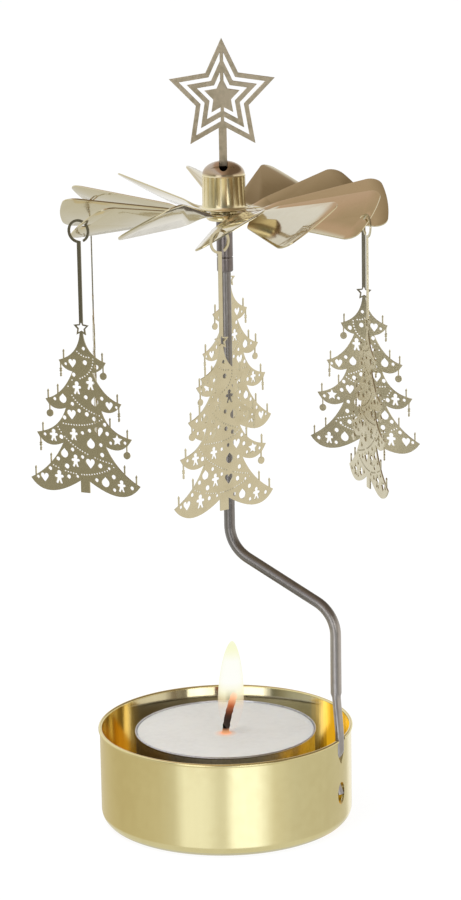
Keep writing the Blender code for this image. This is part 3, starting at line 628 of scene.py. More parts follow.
@dataclass(frozen=True)
class MetalFinish:
    """A metal with rolling grain, smudges and a slightly wavy surface."""

    name: str
    base: Tint
    shade: Tint
    roughness: float
    rough_spread: float
    grain_scale: float = 900.0
    stretch: Tint = (1.0, 1.0, 0.05)
    grain_height: float = 0.03
    smudge_scale: float = 60.0
    smudge_amount: float = 0.5
    ripple_scale: float = 40.0
    ripple_height: float = 0.0
    smudge_share: float = 0.7
    grain_share: float = 0.3
    tone_start: float = 0.1
    tone_end: float = 0.95
    relief: float = 0.001

    def build(self) -> Material:
        """Make the material.

        Returns:
            The material.
        """
        material, nodes = start_material(self.name)
        place = nodes.place()
        along = nodes.scaled(place, self.stretch)
        grain = nodes.effect("rolling_grain", along, self.grain_scale)
        smudge = nodes.effect("smudges", place, self.smudge_scale, Amount=self.smudge_amount)
        ripple = nodes.effect("sheet_ripple", place, self.ripple_scale)
        share = nodes.math("ADD", nodes.product(smudge["Mask"], self.smudge_share),
                           nodes.product(grain["Mask"], self.grain_share))
        height = nodes.math("ADD", nodes.product(ripple["Height"], self.ripple_height),
                            nodes.product(grain["Height"], self.grain_height))
        dull = self.roughness + self.rough_spread
        nodes.principled({
            "Base Color": nodes.ramp(share, ((self.tone_start, self.base),
                                             (self.tone_end, self.shade))),
            "Roughness": nodes.remap(share, 0.0, 1.0, self.roughness, dull),
            "Metallic": 1.0,
            "Normal": nodes.bump(height, 1.0, self.relief),
        })
        return material


@dataclass(frozen=True)
class PaintedShadeFinish(MetalFinish):
    """A metal with painted shade above a height: its colour is darkened by a tint there."""

    painted_shade_tint: Tint = (0.56, 0.49, 0.52)
    painted_shade_low: float = 0.1375
    painted_shade_high: float = 0.1380

    def build(self) -> Material:
        """Make the material.

        Returns:
            The material.
        """
        material = super().build()
        nodes = Nodes(material.node_tree)
        height = nodes.split(nodes.place())["Z"]
        # painted shade: the colour multiplied by a darker tint above the height
        share = nodes.remap(height, self.painted_shade_low, self.painted_shade_high)
        plain = nodes.source("Base Color")
        tinted = nodes.blend(1.0, plain, (*self.painted_shade_tint, 1.0), "MULTIPLY")
        nodes.principled({"Base Color": nodes.blend(share, plain, tinted)})
        return material


@dataclass(frozen=True)
class PaintedFlameWallFinish(MetalFinish):
    """Brass inside the cup: painted amber flame light and a painted glow at its sides, and shading
    normals tipped upwards as if the wall were drawn open at its rim.
    """

    # painted flame light: an amber base colour and a glow colour for the side walls
    painted_flame_amber: Tint = (0.60, 0.40, 0.09)
    glow: Tint = (0.60, 0.32, 0.010)
    side_start: float = 0.0185
    side_end: float = 0.0225
    side_glow: Point = (0.14, 2.5)
    streak_scale: float = 420.0
    streak_range: Point = (0.36, 0.62)
    depth_range: Point = (0.004, 0.019)
    dim_share: float = 0.25
    flare: float = 0.17

    def build(self) -> Material:
        """Make the material.

        Returns:
            The material.
        """
        material = super().build()
        nodes = Nodes(material.node_tree)
        place = nodes.place()
        x, _, height = nodes.split(place)
        side = nodes.remap(nodes.math("ABSOLUTE", x), self.side_start, self.side_end)
        streak = nodes.noise(nodes.scaled(place, PLAN), self.streak_scale, detail=2.0)
        # painted glow: streaky, brighter higher up and towards the right-hand side
        painted_glow_share = nodes.product(
            nodes.remap(streak, *self.streak_range, self.dim_share, 1.0),
            nodes.remap(height, *self.depth_range, self.dim_share, 1.0),
            side,
            nodes.remap(x, -self.side_end, self.side_end, *self.side_glow),
        )
        tilted = nodes.add("VectorMath", {0: nodes.source("Normal"), 1: (0.0, 0.0, self.flare)},
                           operation="ADD")
        straight = nodes.add("VectorMath", {0: tilted.outputs[0]}, operation="NORMALIZE")
        # the amber base colour at the sides is painted flame light, and the emission is a painted
        # glow
        nodes.principled({
            "Base Color": nodes.blend(side, nodes.source("Base Color"), (*self.painted_flame_amber, 1.0)),
            "Emission Color": nodes.blend(painted_glow_share, BLACK, (*self.glow, 1.0)),
            "Emission Strength": 1.0,
            "Normal": straight.outputs[0],
        })
        return material


@dataclass(frozen=True)
class WaxFinish:
    """Pale candle wax with a painted glow and painted warm flame light round the burning wick."""

    name: str
    base: Tint
    damp: Tint
    glow: Tint
    painted_glow_radius: float
    # warmth: painted flame light, a warm tint multiplied into the wax's colour near the wick
    warmth: Stops = ((0.26, (1.0, 0.42, 0.24)), (0.50, (1.0, 0.80, 0.70)),
                     (0.85, (1.0, 1.0, 1.0)))
    halo_share: float = 0.22
    halo_places: Tint = (0.28, 0.55, 1.0)
    painted_glow_strength: float = 0.7
    smudge_scale: float = 140.0
    roughness: Point = (0.46, 0.60)
    gloss: float = 0.12
    depth: float = 0.25
    depth_radii: Tint = (0.004, 0.003, 0.002)
    depth_scale: float = 0.5
    relief: Point = (0.25, 0.0006)

    def build(self) -> Material:
        """Make the material.

        Returns:
            The material.
        """
        material, nodes = start_material(self.name)
        place = nodes.place()
        smudge = nodes.effect("smudges", place, self.smudge_scale)
        flat = nodes.scaled(place, PLAN)
        away = nodes.add("VectorMath", {0: flat}, operation="LENGTH").outputs["Value"]
        near = nodes.math("DIVIDE", away, self.painted_glow_radius)
        colour = nodes.ramp(smudge["Mask"], ((0.0, self.base), (1.0, self.damp)))
        halo = tuple(channel * self.halo_share for channel in self.glow)
        rings = tuple(zip(self.halo_places, (self.glow, halo, BLACK[:3])))
        # the warm colour and the emission round the wick are painted flame light
        nodes.principled({
            "Base Color": nodes.blend(1.0, colour, nodes.ramp(near, self.warmth), "MULTIPLY"),
            "Roughness": nodes.remap(smudge["Mask"], 0.0, 1.0, *self.roughness),
            "Emission Color": nodes.ramp(near, rings),
            "Emission Strength": self.painted_glow_strength,
            "Specular IOR Level": self.gloss,
            "Subsurface Weight": self.depth,
            "Subsurface Radius": self.depth_radii,
            "Subsurface Scale": self.depth_scale,
            "Normal": nodes.bump(smudge["Height"], *self.relief),
        })
        return material


@dataclass(frozen=True)
class WickFinish:
    """Charred cotton, glowing at its tip, with a painted glow at its foot by the wax."""

    name: str
    low: float
    high: float
    char: Stops = (
        (0.0, (0.60, 0.34, 0.20)), (0.10, (0.40, 0.20, 0.12)), (0.18, (0.002, 0.001, 0.001)),
        (0.50, (0.004, 0.002, 0.001)), (0.9, (0.25, 0.06, 0.02)),
    )
    # the glow at the tip is the burning ember; the glow at the foot by the wax is painted flame
    # light
    ember_and_painted_glow: Stops = (
        (0.0, (0.45, 0.26, 0.12)), (0.10, (0.30, 0.13, 0.05)), (0.17, (0.0, 0.0, 0.0)),
        (0.38, (0.0, 0.0, 0.0)), (0.48, (0.03, 0.006, 0.001)), (0.64, (0.14, 0.025, 0.004)),
        (0.80, (0.45, 0.07, 0.008)), (0.95, (0.90, 0.18, 0.025)),
    )
    gloss: float = 0.08
    roughness: float = 0.9
    twist: Tint = (1.0, 1.0, 0.35)
    fibre_scale: float = 2600.0
    relief: Point = (0.8, 0.0003)

    def build(self) -> Material:
        """Make the material.

        Returns:
            The material.
        """
        material, nodes = start_material(self.name)
        place = nodes.place()
        share = nodes.remap(nodes.split(place)["Z"], self.low, self.high)
        fibres = nodes.noise(nodes.scaled(place, self.twist), self.fibre_scale, detail=4.0)
        nodes.principled({
            "Base Color": nodes.ramp(share, self.char),
            "Emission Color": nodes.ramp(share, self.ember_and_painted_glow),
            "Emission Strength": 1.0,
            "Specular IOR Level": self.gloss,
            "Roughness": self.roughness,
            "Normal": nodes.bump(fibres, *self.relief),
        })
        return material


@dataclass(frozen=True)
class FlameFinish:
    """A clear flame: white inside, pale yellow at its edge and warm at its foot."""

    name: str
    low: float
    high: float
    core: Stops = (
        (0.0, (1.0, 0.75, 0.60)), (0.22, (1.0, 0.62, 0.48)), (0.30, (1.0, 0.70, 0.48)),
        (0.38, (0.98, 0.86, 0.52)), (0.46, (0.99, 0.96, 0.70)), (0.58, (1.0, 1.0, 0.95)),
        (0.80, (1.0, 1.0, 0.93)), (0.90, (0.96, 0.97, 0.68)), (1.0, (0.88, 0.91, 0.46)),
    )
    rim: Stops = (
        (0.0, (1.0, 0.80, 0.70)), (0.34, (1.0, 0.74, 0.50)), (0.46, (0.98, 0.92, 0.62)),
        (0.7, (0.90, 0.93, 0.60)), (1.0, (0.86, 0.90, 0.42)),
    )
    rim_power: float = 2.4
    foot_power: float = 2.0
    foot_alpha: Point = (0.03, 0.10)
    body_power: float = 3.0
    body_alpha: float = 0.96
    body_start: Point = (0.27, 0.48)
    middle_start: Point = (0.33, 0.52)
    middle_width: Point = (0.03, 0.12)
    tip_start: Point = (1.0, 0.86)
    tip_alpha: float = 0.35

    def build(self) -> Material:
        """Make the material.

        Returns:
            The material.
        """
        material, nodes = start_material(self.name)
        share = nodes.remap(nodes.split(nodes.place())["Z"], self.low, self.high)
        edge = nodes.add("LayerWeight", {"Blend": 0.5}).outputs["Facing"]
        colour = nodes.blend(nodes.math("POWER", edge, self.rim_power),
                             nodes.ramp(share, self.core), nodes.ramp(share, self.rim))
        clear = nodes.remap(nodes.math("POWER", edge, self.foot_power), 0.0, 1.0, *self.foot_alpha)
        bright = nodes.math("SUBTRACT", 1.0, nodes.math("POWER", edge, self.body_power))
        above = nodes.between(nodes.remap(edge, *self.middle_width),
                              nodes.remap(share, *self.middle_start),
                              nodes.remap(share, *self.body_start))
        body = nodes.between(above, clear, nodes.product(bright, self.body_alpha))
        fade = nodes.remap(share, *self.tip_start, self.tip_alpha, 1.0)
        nodes.principled({
            "Emission Color": colour,
            "Emission Strength": 1.0,
            "Base Color": BLACK,
            "Specular IOR Level": 0.0,
            "Roughness": 1.0,
            "Alpha": nodes.product(body, fade),
        })
        return material


class Finishes:
    """Every material of the carousel, built once."""

    def __init__(self) -> None:
        """Build the shared groups and the materials."""
        build_grain_group()
        build_smudge_group()
        build_ripple_group()
        self.cup = MetalFinish(
            "cup_brass_polished", (0.80, 0.70, 0.36), (0.70, 0.58, 0.27), 0.15, 0.10,
            grain_scale=700.0, stretch=(1.0, 1.0, 0.04), grain_height=0.010,
            smudge_scale=70.0, smudge_amount=0.30, ripple_scale=34.0, ripple_height=0.05,
        ).build()
        # inside the cup: brass with painted flame light and a painted glow at its sides
        self.cup_inside_painted_flame_light = PaintedFlameWallFinish(
            "cup_brass_inside_painted_flame_light", (0.70, 0.64, 0.42), (0.60, 0.53, 0.33), 0.07, 0.06,
            grain_scale=700.0, stretch=(1.0, 1.0, 0.04), grain_height=0.010,
            smudge_scale=70.0, smudge_amount=0.45, ripple_scale=34.0, ripple_height=0.04,
        ).build()
        self.blades = MetalFinish(
            "blade_brass_rolled", (0.66, 0.58, 0.38), (0.60, 0.51, 0.31), 0.055, 0.09,
            grain_scale=900.0, stretch=(0.06, 1.0, 1.0), grain_height=0.004,
            smudge_scale=90.0, smudge_amount=0.35, ripple_scale=46.0, ripple_height=0.16,
        ).build()
        # painted shade: darker, redder brass on the dome
        self.hub = PaintedShadeFinish(
            "hub_brass_polished", (0.86, 0.76, 0.49), (0.72, 0.60, 0.34), 0.17, 0.05,
            grain_scale=1500.0, stretch=(1.0, 1.0, 0.10), grain_height=0.001,
            smudge_scale=160.0, smudge_amount=0.30, ripple_scale=120.0, ripple_height=0.010,
        ).build()
        self.etched = MetalFinish(
            "etched_brass_sheet", (0.655, 0.595, 0.415), (0.555, 0.49, 0.315), 0.20, 0.12,
            grain_scale=5200.0, stretch=(1.0, 1.0, 0.30), grain_height=0.004,
            smudge_scale=70.0, smudge_amount=0.6, ripple_scale=55.0, ripple_height=0.22,
        ).build()
        # charms 3 and 6: a copy of the etched brass with painted light and shade, brighter below
        # and with painted shade over their tops
        self.etched_painted_shade = PaintedShadeFinish(
            "etched_brass_painted_shade", (0.69, 0.62, 0.43), (0.54, 0.475, 0.31), 0.18, 0.12,
            grain_scale=5200.0, stretch=(1.0, 1.0, 0.30), grain_height=0.004,
            smudge_scale=90.0, smudge_amount=0.7, ripple_scale=75.0, ripple_height=0.28,
            painted_shade_tint=(0.40, 0.41, 0.46), painted_shade_low=0.1035, painted_shade_high=0.1115,
        ).build()
        self.star = MetalFinish(
            "star_brass_sheet", (0.64, 0.55, 0.40), (0.42, 0.37, 0.25), 0.42, 0.16,
            grain_scale=2600.0, stretch=(1.0, 1.0, 0.30), grain_height=0.004,
            smudge_scale=150.0, smudge_amount=0.9, ripple_scale=90.0, ripple_height=0.20,
        ).build()
        # painted shade: darker steel above the leg of the post and on the needle
        self.steel = PaintedShadeFinish(
            "post_steel_satin", (0.48, 0.45, 0.42), (0.35, 0.32, 0.29), 0.30, 0.14,
            grain_scale=1400.0, stretch=(1.0, 1.0, 0.06), smudge_scale=130.0,
            painted_shade_tint=(0.56, 0.56, 0.57), painted_shade_low=0.044, painted_shade_high=0.050,
        ).build()
        self.sleeve = MetalFinish(
            "sleeve_steel_dark", (0.24, 0.21, 0.20), (0.15, 0.13, 0.12), 0.28, 0.14,
            grain_scale=1500.0, stretch=(1.0, 1.0, 0.10), grain_height=0.02,
            smudge_scale=200.0,
        ).build()
        self.foil = MetalFinish(
            "tealight_foil", (0.60, 0.60, 0.62), (0.38, 0.38, 0.39), 0.26, 0.16,
            grain_scale=1700.0, stretch=(1.0, 1.0, 0.35), grain_height=0.05,
            smudge_scale=260.0, smudge_amount=0.7, ripple_scale=220.0, ripple_height=0.08,
        ).build()
        self.wax = WaxFinish("candle_wax_pale", (0.66, 0.645, 0.61), (0.60, 0.585, 0.55),
                             (0.50, 0.22, 0.10), 0.0029).build()
        self.wick = WickFinish("wick_charred", 0.0180, 0.0270).build()
        self.flame = FlameFinish("flame_clear", 0.0186, 0.0379).build()


# Sub-assemblies


@dataclass
class CupShell:
    """The pressed brass cup with its rolled rim, notch and eye."""

    radius: float = 0.0266
    height: float = CUP_HEIGHT
    wall: float = 0.0005
    corner: float = 0.0027
    bead: float = 0.00040
    segments: int = 180
    post_azimuth: float = POST_AZIMUTH
    notch_half_width: float = 0.00155
    notch_depth: float = 0.0056
    notch_point: float = 0.0024
    notch_pull_shares: Point = (0.35, 0.3)
    eye_height: float = 0.0085
    eye_half_height: float = 0.0024
    eye_half_width: float = 0.0016
    overrun: float = 0.0020
    rim_band: float = 0.0010
    inside_slack: float = 0.000025

    def profile(self) -> list[Point]:
        """Half section of the shell, from the middle of its underside round.

        Returns:
            Points of (radius, height).
        """
        inner = self.radius - self.wall
        bead_centre = (inner + self.bead, self.height - self.bead)
        corner_centre = (self.radius - self.corner, self.corner)
        start = -math.acos((self.wall - self.bead) / self.bead)
        points = [(0.0, 0.0)]
        points += arc(corner_centre, self.corner, -math.pi / 2, 0, steps=12)
        points += arc(bead_centre, self.bead, start, math.pi, steps=16)
        points += arc(corner_centre, self.corner - self.wall, 0, -math.pi / 2, steps=8)
        points.append((0.0, self.wall))
        return points

    def cutter(self, outline: Sequence[Point]) -> BMesh:
        """A prism through the wall at the post.

        Args:
            outline: points of (across, height).

        Returns:
            The closed prism.
        """
        bm = thicken(fill([outline]), self.wall + self.overrun)
        upright = Matrix(((0, 0, 1), (1, 0, 0), (0, 1, 0))).to_4x4()
        out = Matrix.Translation((self.radius - self.wall / 2, 0, 0))
        place = Matrix.Rotation(self.post_azimuth, 4, "Z") @ out @ upright
        bmesh.ops.transform(bm, matrix=place, verts=bm.verts)
        return close_up(bm)

    def notch(self) -> list[Point]:
        """The pointed notch in the rim.

        Returns:
            Points of (across, height).
        """
        half = self.notch_half_width
        point = self.height - self.notch_depth
        shoulder = (-half, point + self.notch_point)
        across, up = self.notch_pull_shares
        pull = (-half * across, point + self.notch_point * up)
        left = [(-half, self.height + self.overrun), shoulder]
        left += curve(shoulder, pull, (0.0, point), steps=4)
        return left + mirrored(left[:-1])

    def eye(self) -> list[Point]:
        """The oval eye under the notch."""
        return [(self.eye_half_width * x, self.eye_height + self.eye_half_height * y)
                for x, y in circle((0, 0), 1, steps=36)]

    def build(self, finishes: Finishes) -> None:
        """Make the shell and cut it.

        Args:
            finishes: the carousel's materials.
        """
        shell = make_piece("cup_shell", lathe(self.profile(), self.segments), finishes.cup)
        carve(shell, [self.cutter(self.notch()), self.cutter(self.eye())])
        # the inside wall and floor take the brass with painted flame light
        shell.data.materials.append(finishes.cup_inside_painted_flame_light)
        inner = self.radius - self.wall + self.inside_slack
        for face in shell.data.polygons:
            on_wall = self.wall / 2 < face.center.z < self.height - self.rim_band
            if on_wall and face.center.xy.length < inner:
                face.material_index = 1
        seat(shell, Part.STAND.value, "cup_brass", "cup")


@dataclass
class BentPost:
    """The bent wire post with its flattened tang, the sleeve and the needle."""

    radius: float = 0.00115
    azimuth: float = POST_AZIMUTH
    offset: float = 0.0018
    top: float = 0.1263
    knee: float = 0.0594
    elbow: float = 0.0474
    reach: float = 0.0256
    bend: float = 0.0075
    bend_steps: int = 12
    step_length: float = 0.004
    tang_start: float = 0.0303
    tang_steps: int = 14
    tang_blend_share: float = 0.8
    tang_half_width: float = 0.00118
    tang_half_thickness: float = 0.00082
    tang_bend: float = 0.0012
    tang_tip: float = 0.0082
    tip_share: float = 0.55
    in_wall: float = 0.0263
    inside: float = 0.02525
    turn_in: float = 0.0166
    turn_out: float = 0.0109
    rim: float = CUP_HEIGHT
    sleeve_radius: float = 0.00166
    sleeve_low: float = 0.1176
    sleeve_length: float = 0.0152
    sleeve_edge: float = 0.00025
    groove_height: float = 0.0030
    groove_radius: float = 0.00016
    bore_gap: float = 0.00006
    bore_sides: int = 16

    def route(self) -> list[Vector]:
        """The wire's centreline, its corners rounded.

        Returns:
            Points of (out, up).
        """
        corners = [
            (self.offset, self.top), (self.offset, self.knee), (self.reach, self.elbow),
            (self.reach, self.tang_start), (self.in_wall, self.rim + self.tang_bend),
            (self.in_wall, self.turn_in + self.tang_bend),
            (self.inside, self.turn_in - self.tang_bend / 2),
            (self.inside, self.turn_out), (self.in_wall, self.tang_tip),
        ]
        radii = (self.bend, self.bend) + (self.tang_bend,) * 5
        points = [Vector(corners[0])]
        for before, corner, after, radius in zip(corners, corners[1:], corners[2:], radii):
            here = Vector(corner)
            arrive = (here - Vector(before)).normalized()
            leave = (Vector(after) - here).normalized()
            turn = abs(arrive.angle_signed(leave))
            side = math.copysign(1, arrive.cross(leave))
            start = here - arrive * radius * math.tan(turn / 2)
            centre = start + Vector((-arrive.y, arrive.x)) * side * radius
            for step in range(self.bend_steps + 1):
                spin = Matrix.Rotation(side * turn * step / self.bend_steps, 2)
                points.append(centre + spin @ (start - centre))
        points.append(Vector(corners[-1]))
        return points

    def fine_route(self) -> list[Vector]:
        """The centreline with points between, closest where the wire is flattened.

        Returns:
            Points of (out, up).
        """
        slack = self.tang_bend / 2
        points = self.route()
        fine = [points[0]]
        for first, second in zip(points, points[1:]):
            steps = max(1, round((second - first).length / self.step_length))
            if first.y <= self.tang_start + slack and second.y > self.rim:
                steps = self.tang_steps
            fine += [first.lerp(second, k / steps) for k in range(1, steps + 1)]
        return fine

    def stations(self) -> Stations:
        """The sections along the wire.

        Returns:
            Place and half sizes of each section.
        """
        points = self.fine_route()
        last = len(points) - 1
        found = []
        for k, (out, up) in enumerate(points):
            along = (points[min(k + 1, last)] - points[max(k - 1, 0)]).normalized()
            flat = ease(clip((self.tang_start - up) / (self.radius * self.tang_blend_share)))
            depth = self.radius + (self.tang_half_thickness - self.radius) * flat
            width = self.radius + (self.tang_half_width - self.radius) * flat
            if k == last:
                width *= self.tip_share
            turn = Matrix((
                (-along.y, 0, along.x, out), (0, 1, 0, 0), (along.x, 0, along.y, up),
                (0, 0, 0, 1),
            ))
            found.append((Matrix.Rotation(self.azimuth, 4, "Z") @ turn, depth, width))
        return found

    def on_axis(self) -> Vector:
        """The needle's line at the height of zero."""
        return Vector((self.offset * math.cos(self.azimuth),
                       self.offset * math.sin(self.azimuth), 0))

    def sleeve_profile(self) -> list[Point]:
        """Closed half section of the sleeve, with the groove near its foot.

        Returns:
            Points of (radius, height).
        """
        radius, edge, low = self.sleeve_radius, self.sleeve_edge, self.sleeve_low
        high = low + self.sleeve_length
        bore = (self.radius + self.bore_gap) / math.cos(math.pi / self.bore_sides)
        groove = (radius, low + self.groove_height)
        points = [(bore, low), (radius - edge, low)]
        points += arc((radius - edge, low + edge), edge, -math.pi / 2, 0, steps=5)
        points += arc(groove, self.groove_radius, -math.pi / 2, -math.pi * 3 / 2, steps=6)
        points += arc((radius - edge, high - edge), edge, 0, math.pi / 2, steps=5)
        points.append((bore, high))
        return points

    def build(self, finishes: Finishes) -> None:
        """Make the wire and the sleeve, and dress the needle.

        Args:
            finishes: the carousel's materials.
        """
        rod = sweep(self.stations(), sides=32)
        wire = make_piece("post_wire", rod, finishes.steel, sharp=50)
        seat(wire, Part.STAND.value, "post_steel", "post")
        bm = shifted(lathe(self.sleeve_profile(), segments=64, closed=True), self.on_axis())
        sleeve = make_piece("needle_collar", bm, finishes.sleeve)
        seat(sleeve, Part.STAND.value, "sleeve_steel", "needle_sleeve")
        dress("needle", finishes.steel)


@dataclass
class BladeWheel:
    """The rotor's sheet: a disc with pitched blades twisted at their necks."""

    count: int = 12
    sheet: float = 0.00028
    pitch: float = math.radians(29)
    rises: tuple[float, ...] = (3.6, 3.6, 3.6, 3.6, 3.2, 2.4, 2.0, 2.6, 7.0, 3.6, 3.6, 3.6)
    phase: float = ROTOR_PHASE
    height: float = 0.1300
    radius: float = 0.0333
    disc: float = 0.0066
    bore: float = 0.0030
    slit: float = 0.0004
    neck_inner: float = -0.0004
    neck_cuts: int = 12
    neck_line_gap: float = 0.0009
    panel_start: float = 0.0118
    shoulder: float = 0.0012
    shoulder_end_share: float = 1.2
    shoulder_pull_shares: Point = (0.15, 0.80)
    tip_corner: float = 0.0026
    hole_radius: float = 0.00085
    hole_shift: float = -0.0009
    hole_web: float = 0.0006
    edge_round: float = 0.00005
    seam: float = 2e-6

    def slit_edge(self, distance: float) -> float:
        """How far a blade's long edge is from its axis, out along the blade."""
        half = math.pi / self.count
        return distance * math.tan(half) - self.slit / 2 / math.cos(half)

    def neck_middle(self) -> float:
        """The line that the neck twists about."""
        return (self.neck_inner + self.slit_edge(self.disc)) / 2

    def outline(self) -> list[Point]:
        """The flat blade with its neck, counter-clockwise.

        Returns:
            Points of (out, across).
        """
        half = math.pi / self.count
        reach = self.radius - self.tip_corner
        bearing = half - math.asin((self.tip_corner + self.slit / 2) / reach)
        low = (reach * math.cos(bearing), -reach * math.sin(bearing))
        waist = (self.panel_start - self.shoulder, self.neck_inner)
        out = self.panel_start + self.shoulder * self.shoulder_end_share
        end = (out, -self.slit_edge(out))
        share_out, share_down = self.shoulder_pull_shares
        pull = (self.panel_start + self.shoulder * share_out, end[1] * share_down)
        points = [(self.disc, self.neck_inner), waist]
        points += curve(waist, pull, end, steps=8)
        points += arc(low, self.tip_corner, -half - math.pi / 2, -bearing, steps=8)
        points += arc((0, 0), self.radius, -bearing, bearing, steps=12)[1:-1]
        points += arc((low[0], -low[1]), self.tip_corner, bearing, half + math.pi / 2, steps=8)
        points.append((self.disc, self.slit_edge(self.disc)))
        return points

    def bend(self, point: Vector, full: float) -> Vector:
        """Carry a point of the flat blade to the pitched blade.

        Args:
            point: a point of the flat blade.
            full: how far the blade is bent up from the disc.

        Returns:
            The point's place.
        """
        span = self.panel_start - self.disc
        share = clip((point.x - self.disc) / span)
        pitch = self.pitch * ease(share)
        rise = full * share
        drop = span * math.tan(full) / 2
        up = (point.x - self.disc) * math.tan(rise) - drop * share * share
        lever = point.y - self.neck_middle()
        shear = -math.sin(rise) * math.sin(pitch)
        return Vector((point.x + lever * shear,
                       self.neck_middle() + lever * math.cos(pitch),
                       up + lever * math.sin(pitch) * math.cos(rise)))

    def cut_neck(self, bm: BMesh) -> None:
        """Cut lines across and along a flat blade's neck, so that it can twist.

        Args:
            bm: the flat blade.
        """
        for k in range(1, self.neck_cuts + 1):
            distance = self.disc + (self.panel_start - self.disc) * k / self.neck_cuts
            bmesh.ops.bisect_plane(bm, geom=bm.verts[:] + bm.edges[:] + bm.faces[:],
                                   plane_co=(distance, 0, 0), plane_no=(1, 0, 0))
        for line in (-1, 0, 1):
            level = self.neck_middle() + line * self.neck_line_gap
            near = [f for f in bm.faces if f.calc_center_median().x < self.panel_start]
            edges = {edge for face in near for edge in face.edges}
            verts = {vert for face in near for vert in face.verts}
            bmesh.ops.bisect_plane(bm, geom=[*near, *edges, *verts], plane_co=(0, level, 0),
                                   plane_no=(0, 1, 0), dist=WELD)

    def blade(self, index: int) -> bpy.types.Mesh:
        """One pitched blade.

        Args:
            index: its number round the wheel.

        Returns:
            Its mesh, without thickness.
        """
        loops = [self.outline()]
        if index % 2 == 1:
            centre = (self.radius - self.hole_web - self.hole_radius, self.hole_shift)
            loops.append(circle(centre, self.hole_radius, steps=28))
        bm = fill(loops)
        self.cut_neck(bm)
        for vert in bm.verts:
            vert.co = self.bend(vert.co, math.radians(self.rises[index]))
        turn = Matrix.Rotation(math.tau * index / self.count + self.phase, 4, "Z")
        bmesh.ops.transform(bm, matrix=turn, verts=bm.verts)
        return to_mesh("blade", bm)

    def disc_loops(self) -> list[list[Point]]:
        """The hub disc's rim, which meets the necks, and its bore.

        Returns:
            The two loops.
        """
        half = math.pi / self.count
        corners = ((self.disc * math.cos(half), -self.disc * math.sin(half)),
                   (self.disc, self.neck_inner), (self.disc, self.slit_edge(self.disc)))
        rim = []
        for index in range(self.count):
            turn = Matrix.Rotation(math.tau * index / self.count + self.phase, 2)
            rim += [tuple(turn @ Vector(corner)) for corner in corners]
        return [rim, circle((0, 0), self.bore, steps=48)]

    def build(self, hub: Vector, finishes: Finishes) -> None:
        """Make the wheel.

        Args:
            hub: the rotor's axis at the wheel's height.
            finishes: the carousel's materials.
        """
        bm = fill(self.disc_loops())
        for index in range(self.count):
            mesh = self.blade(index)
            bm.from_mesh(mesh)
            bpy.data.meshes.remove(mesh)
        bmesh.ops.remove_doubles(bm, verts=bm.verts, dist=self.seam)
        bmesh.ops.recalc_face_normals(shifted(bm, hub), faces=bm.faces)
        wheel = make_piece("blade_wheel", bm, finishes.blades)
        solid = wheel.modifiers.new("sheet", "SOLIDIFY")
        solid.thickness = self.sheet
        solid.offset = 0
        solid.use_even_offset = True
        soften(wheel, self.edge_round)
        seat(wheel, Part.ROTOR.value, "blade_brass", "rotor_blades")


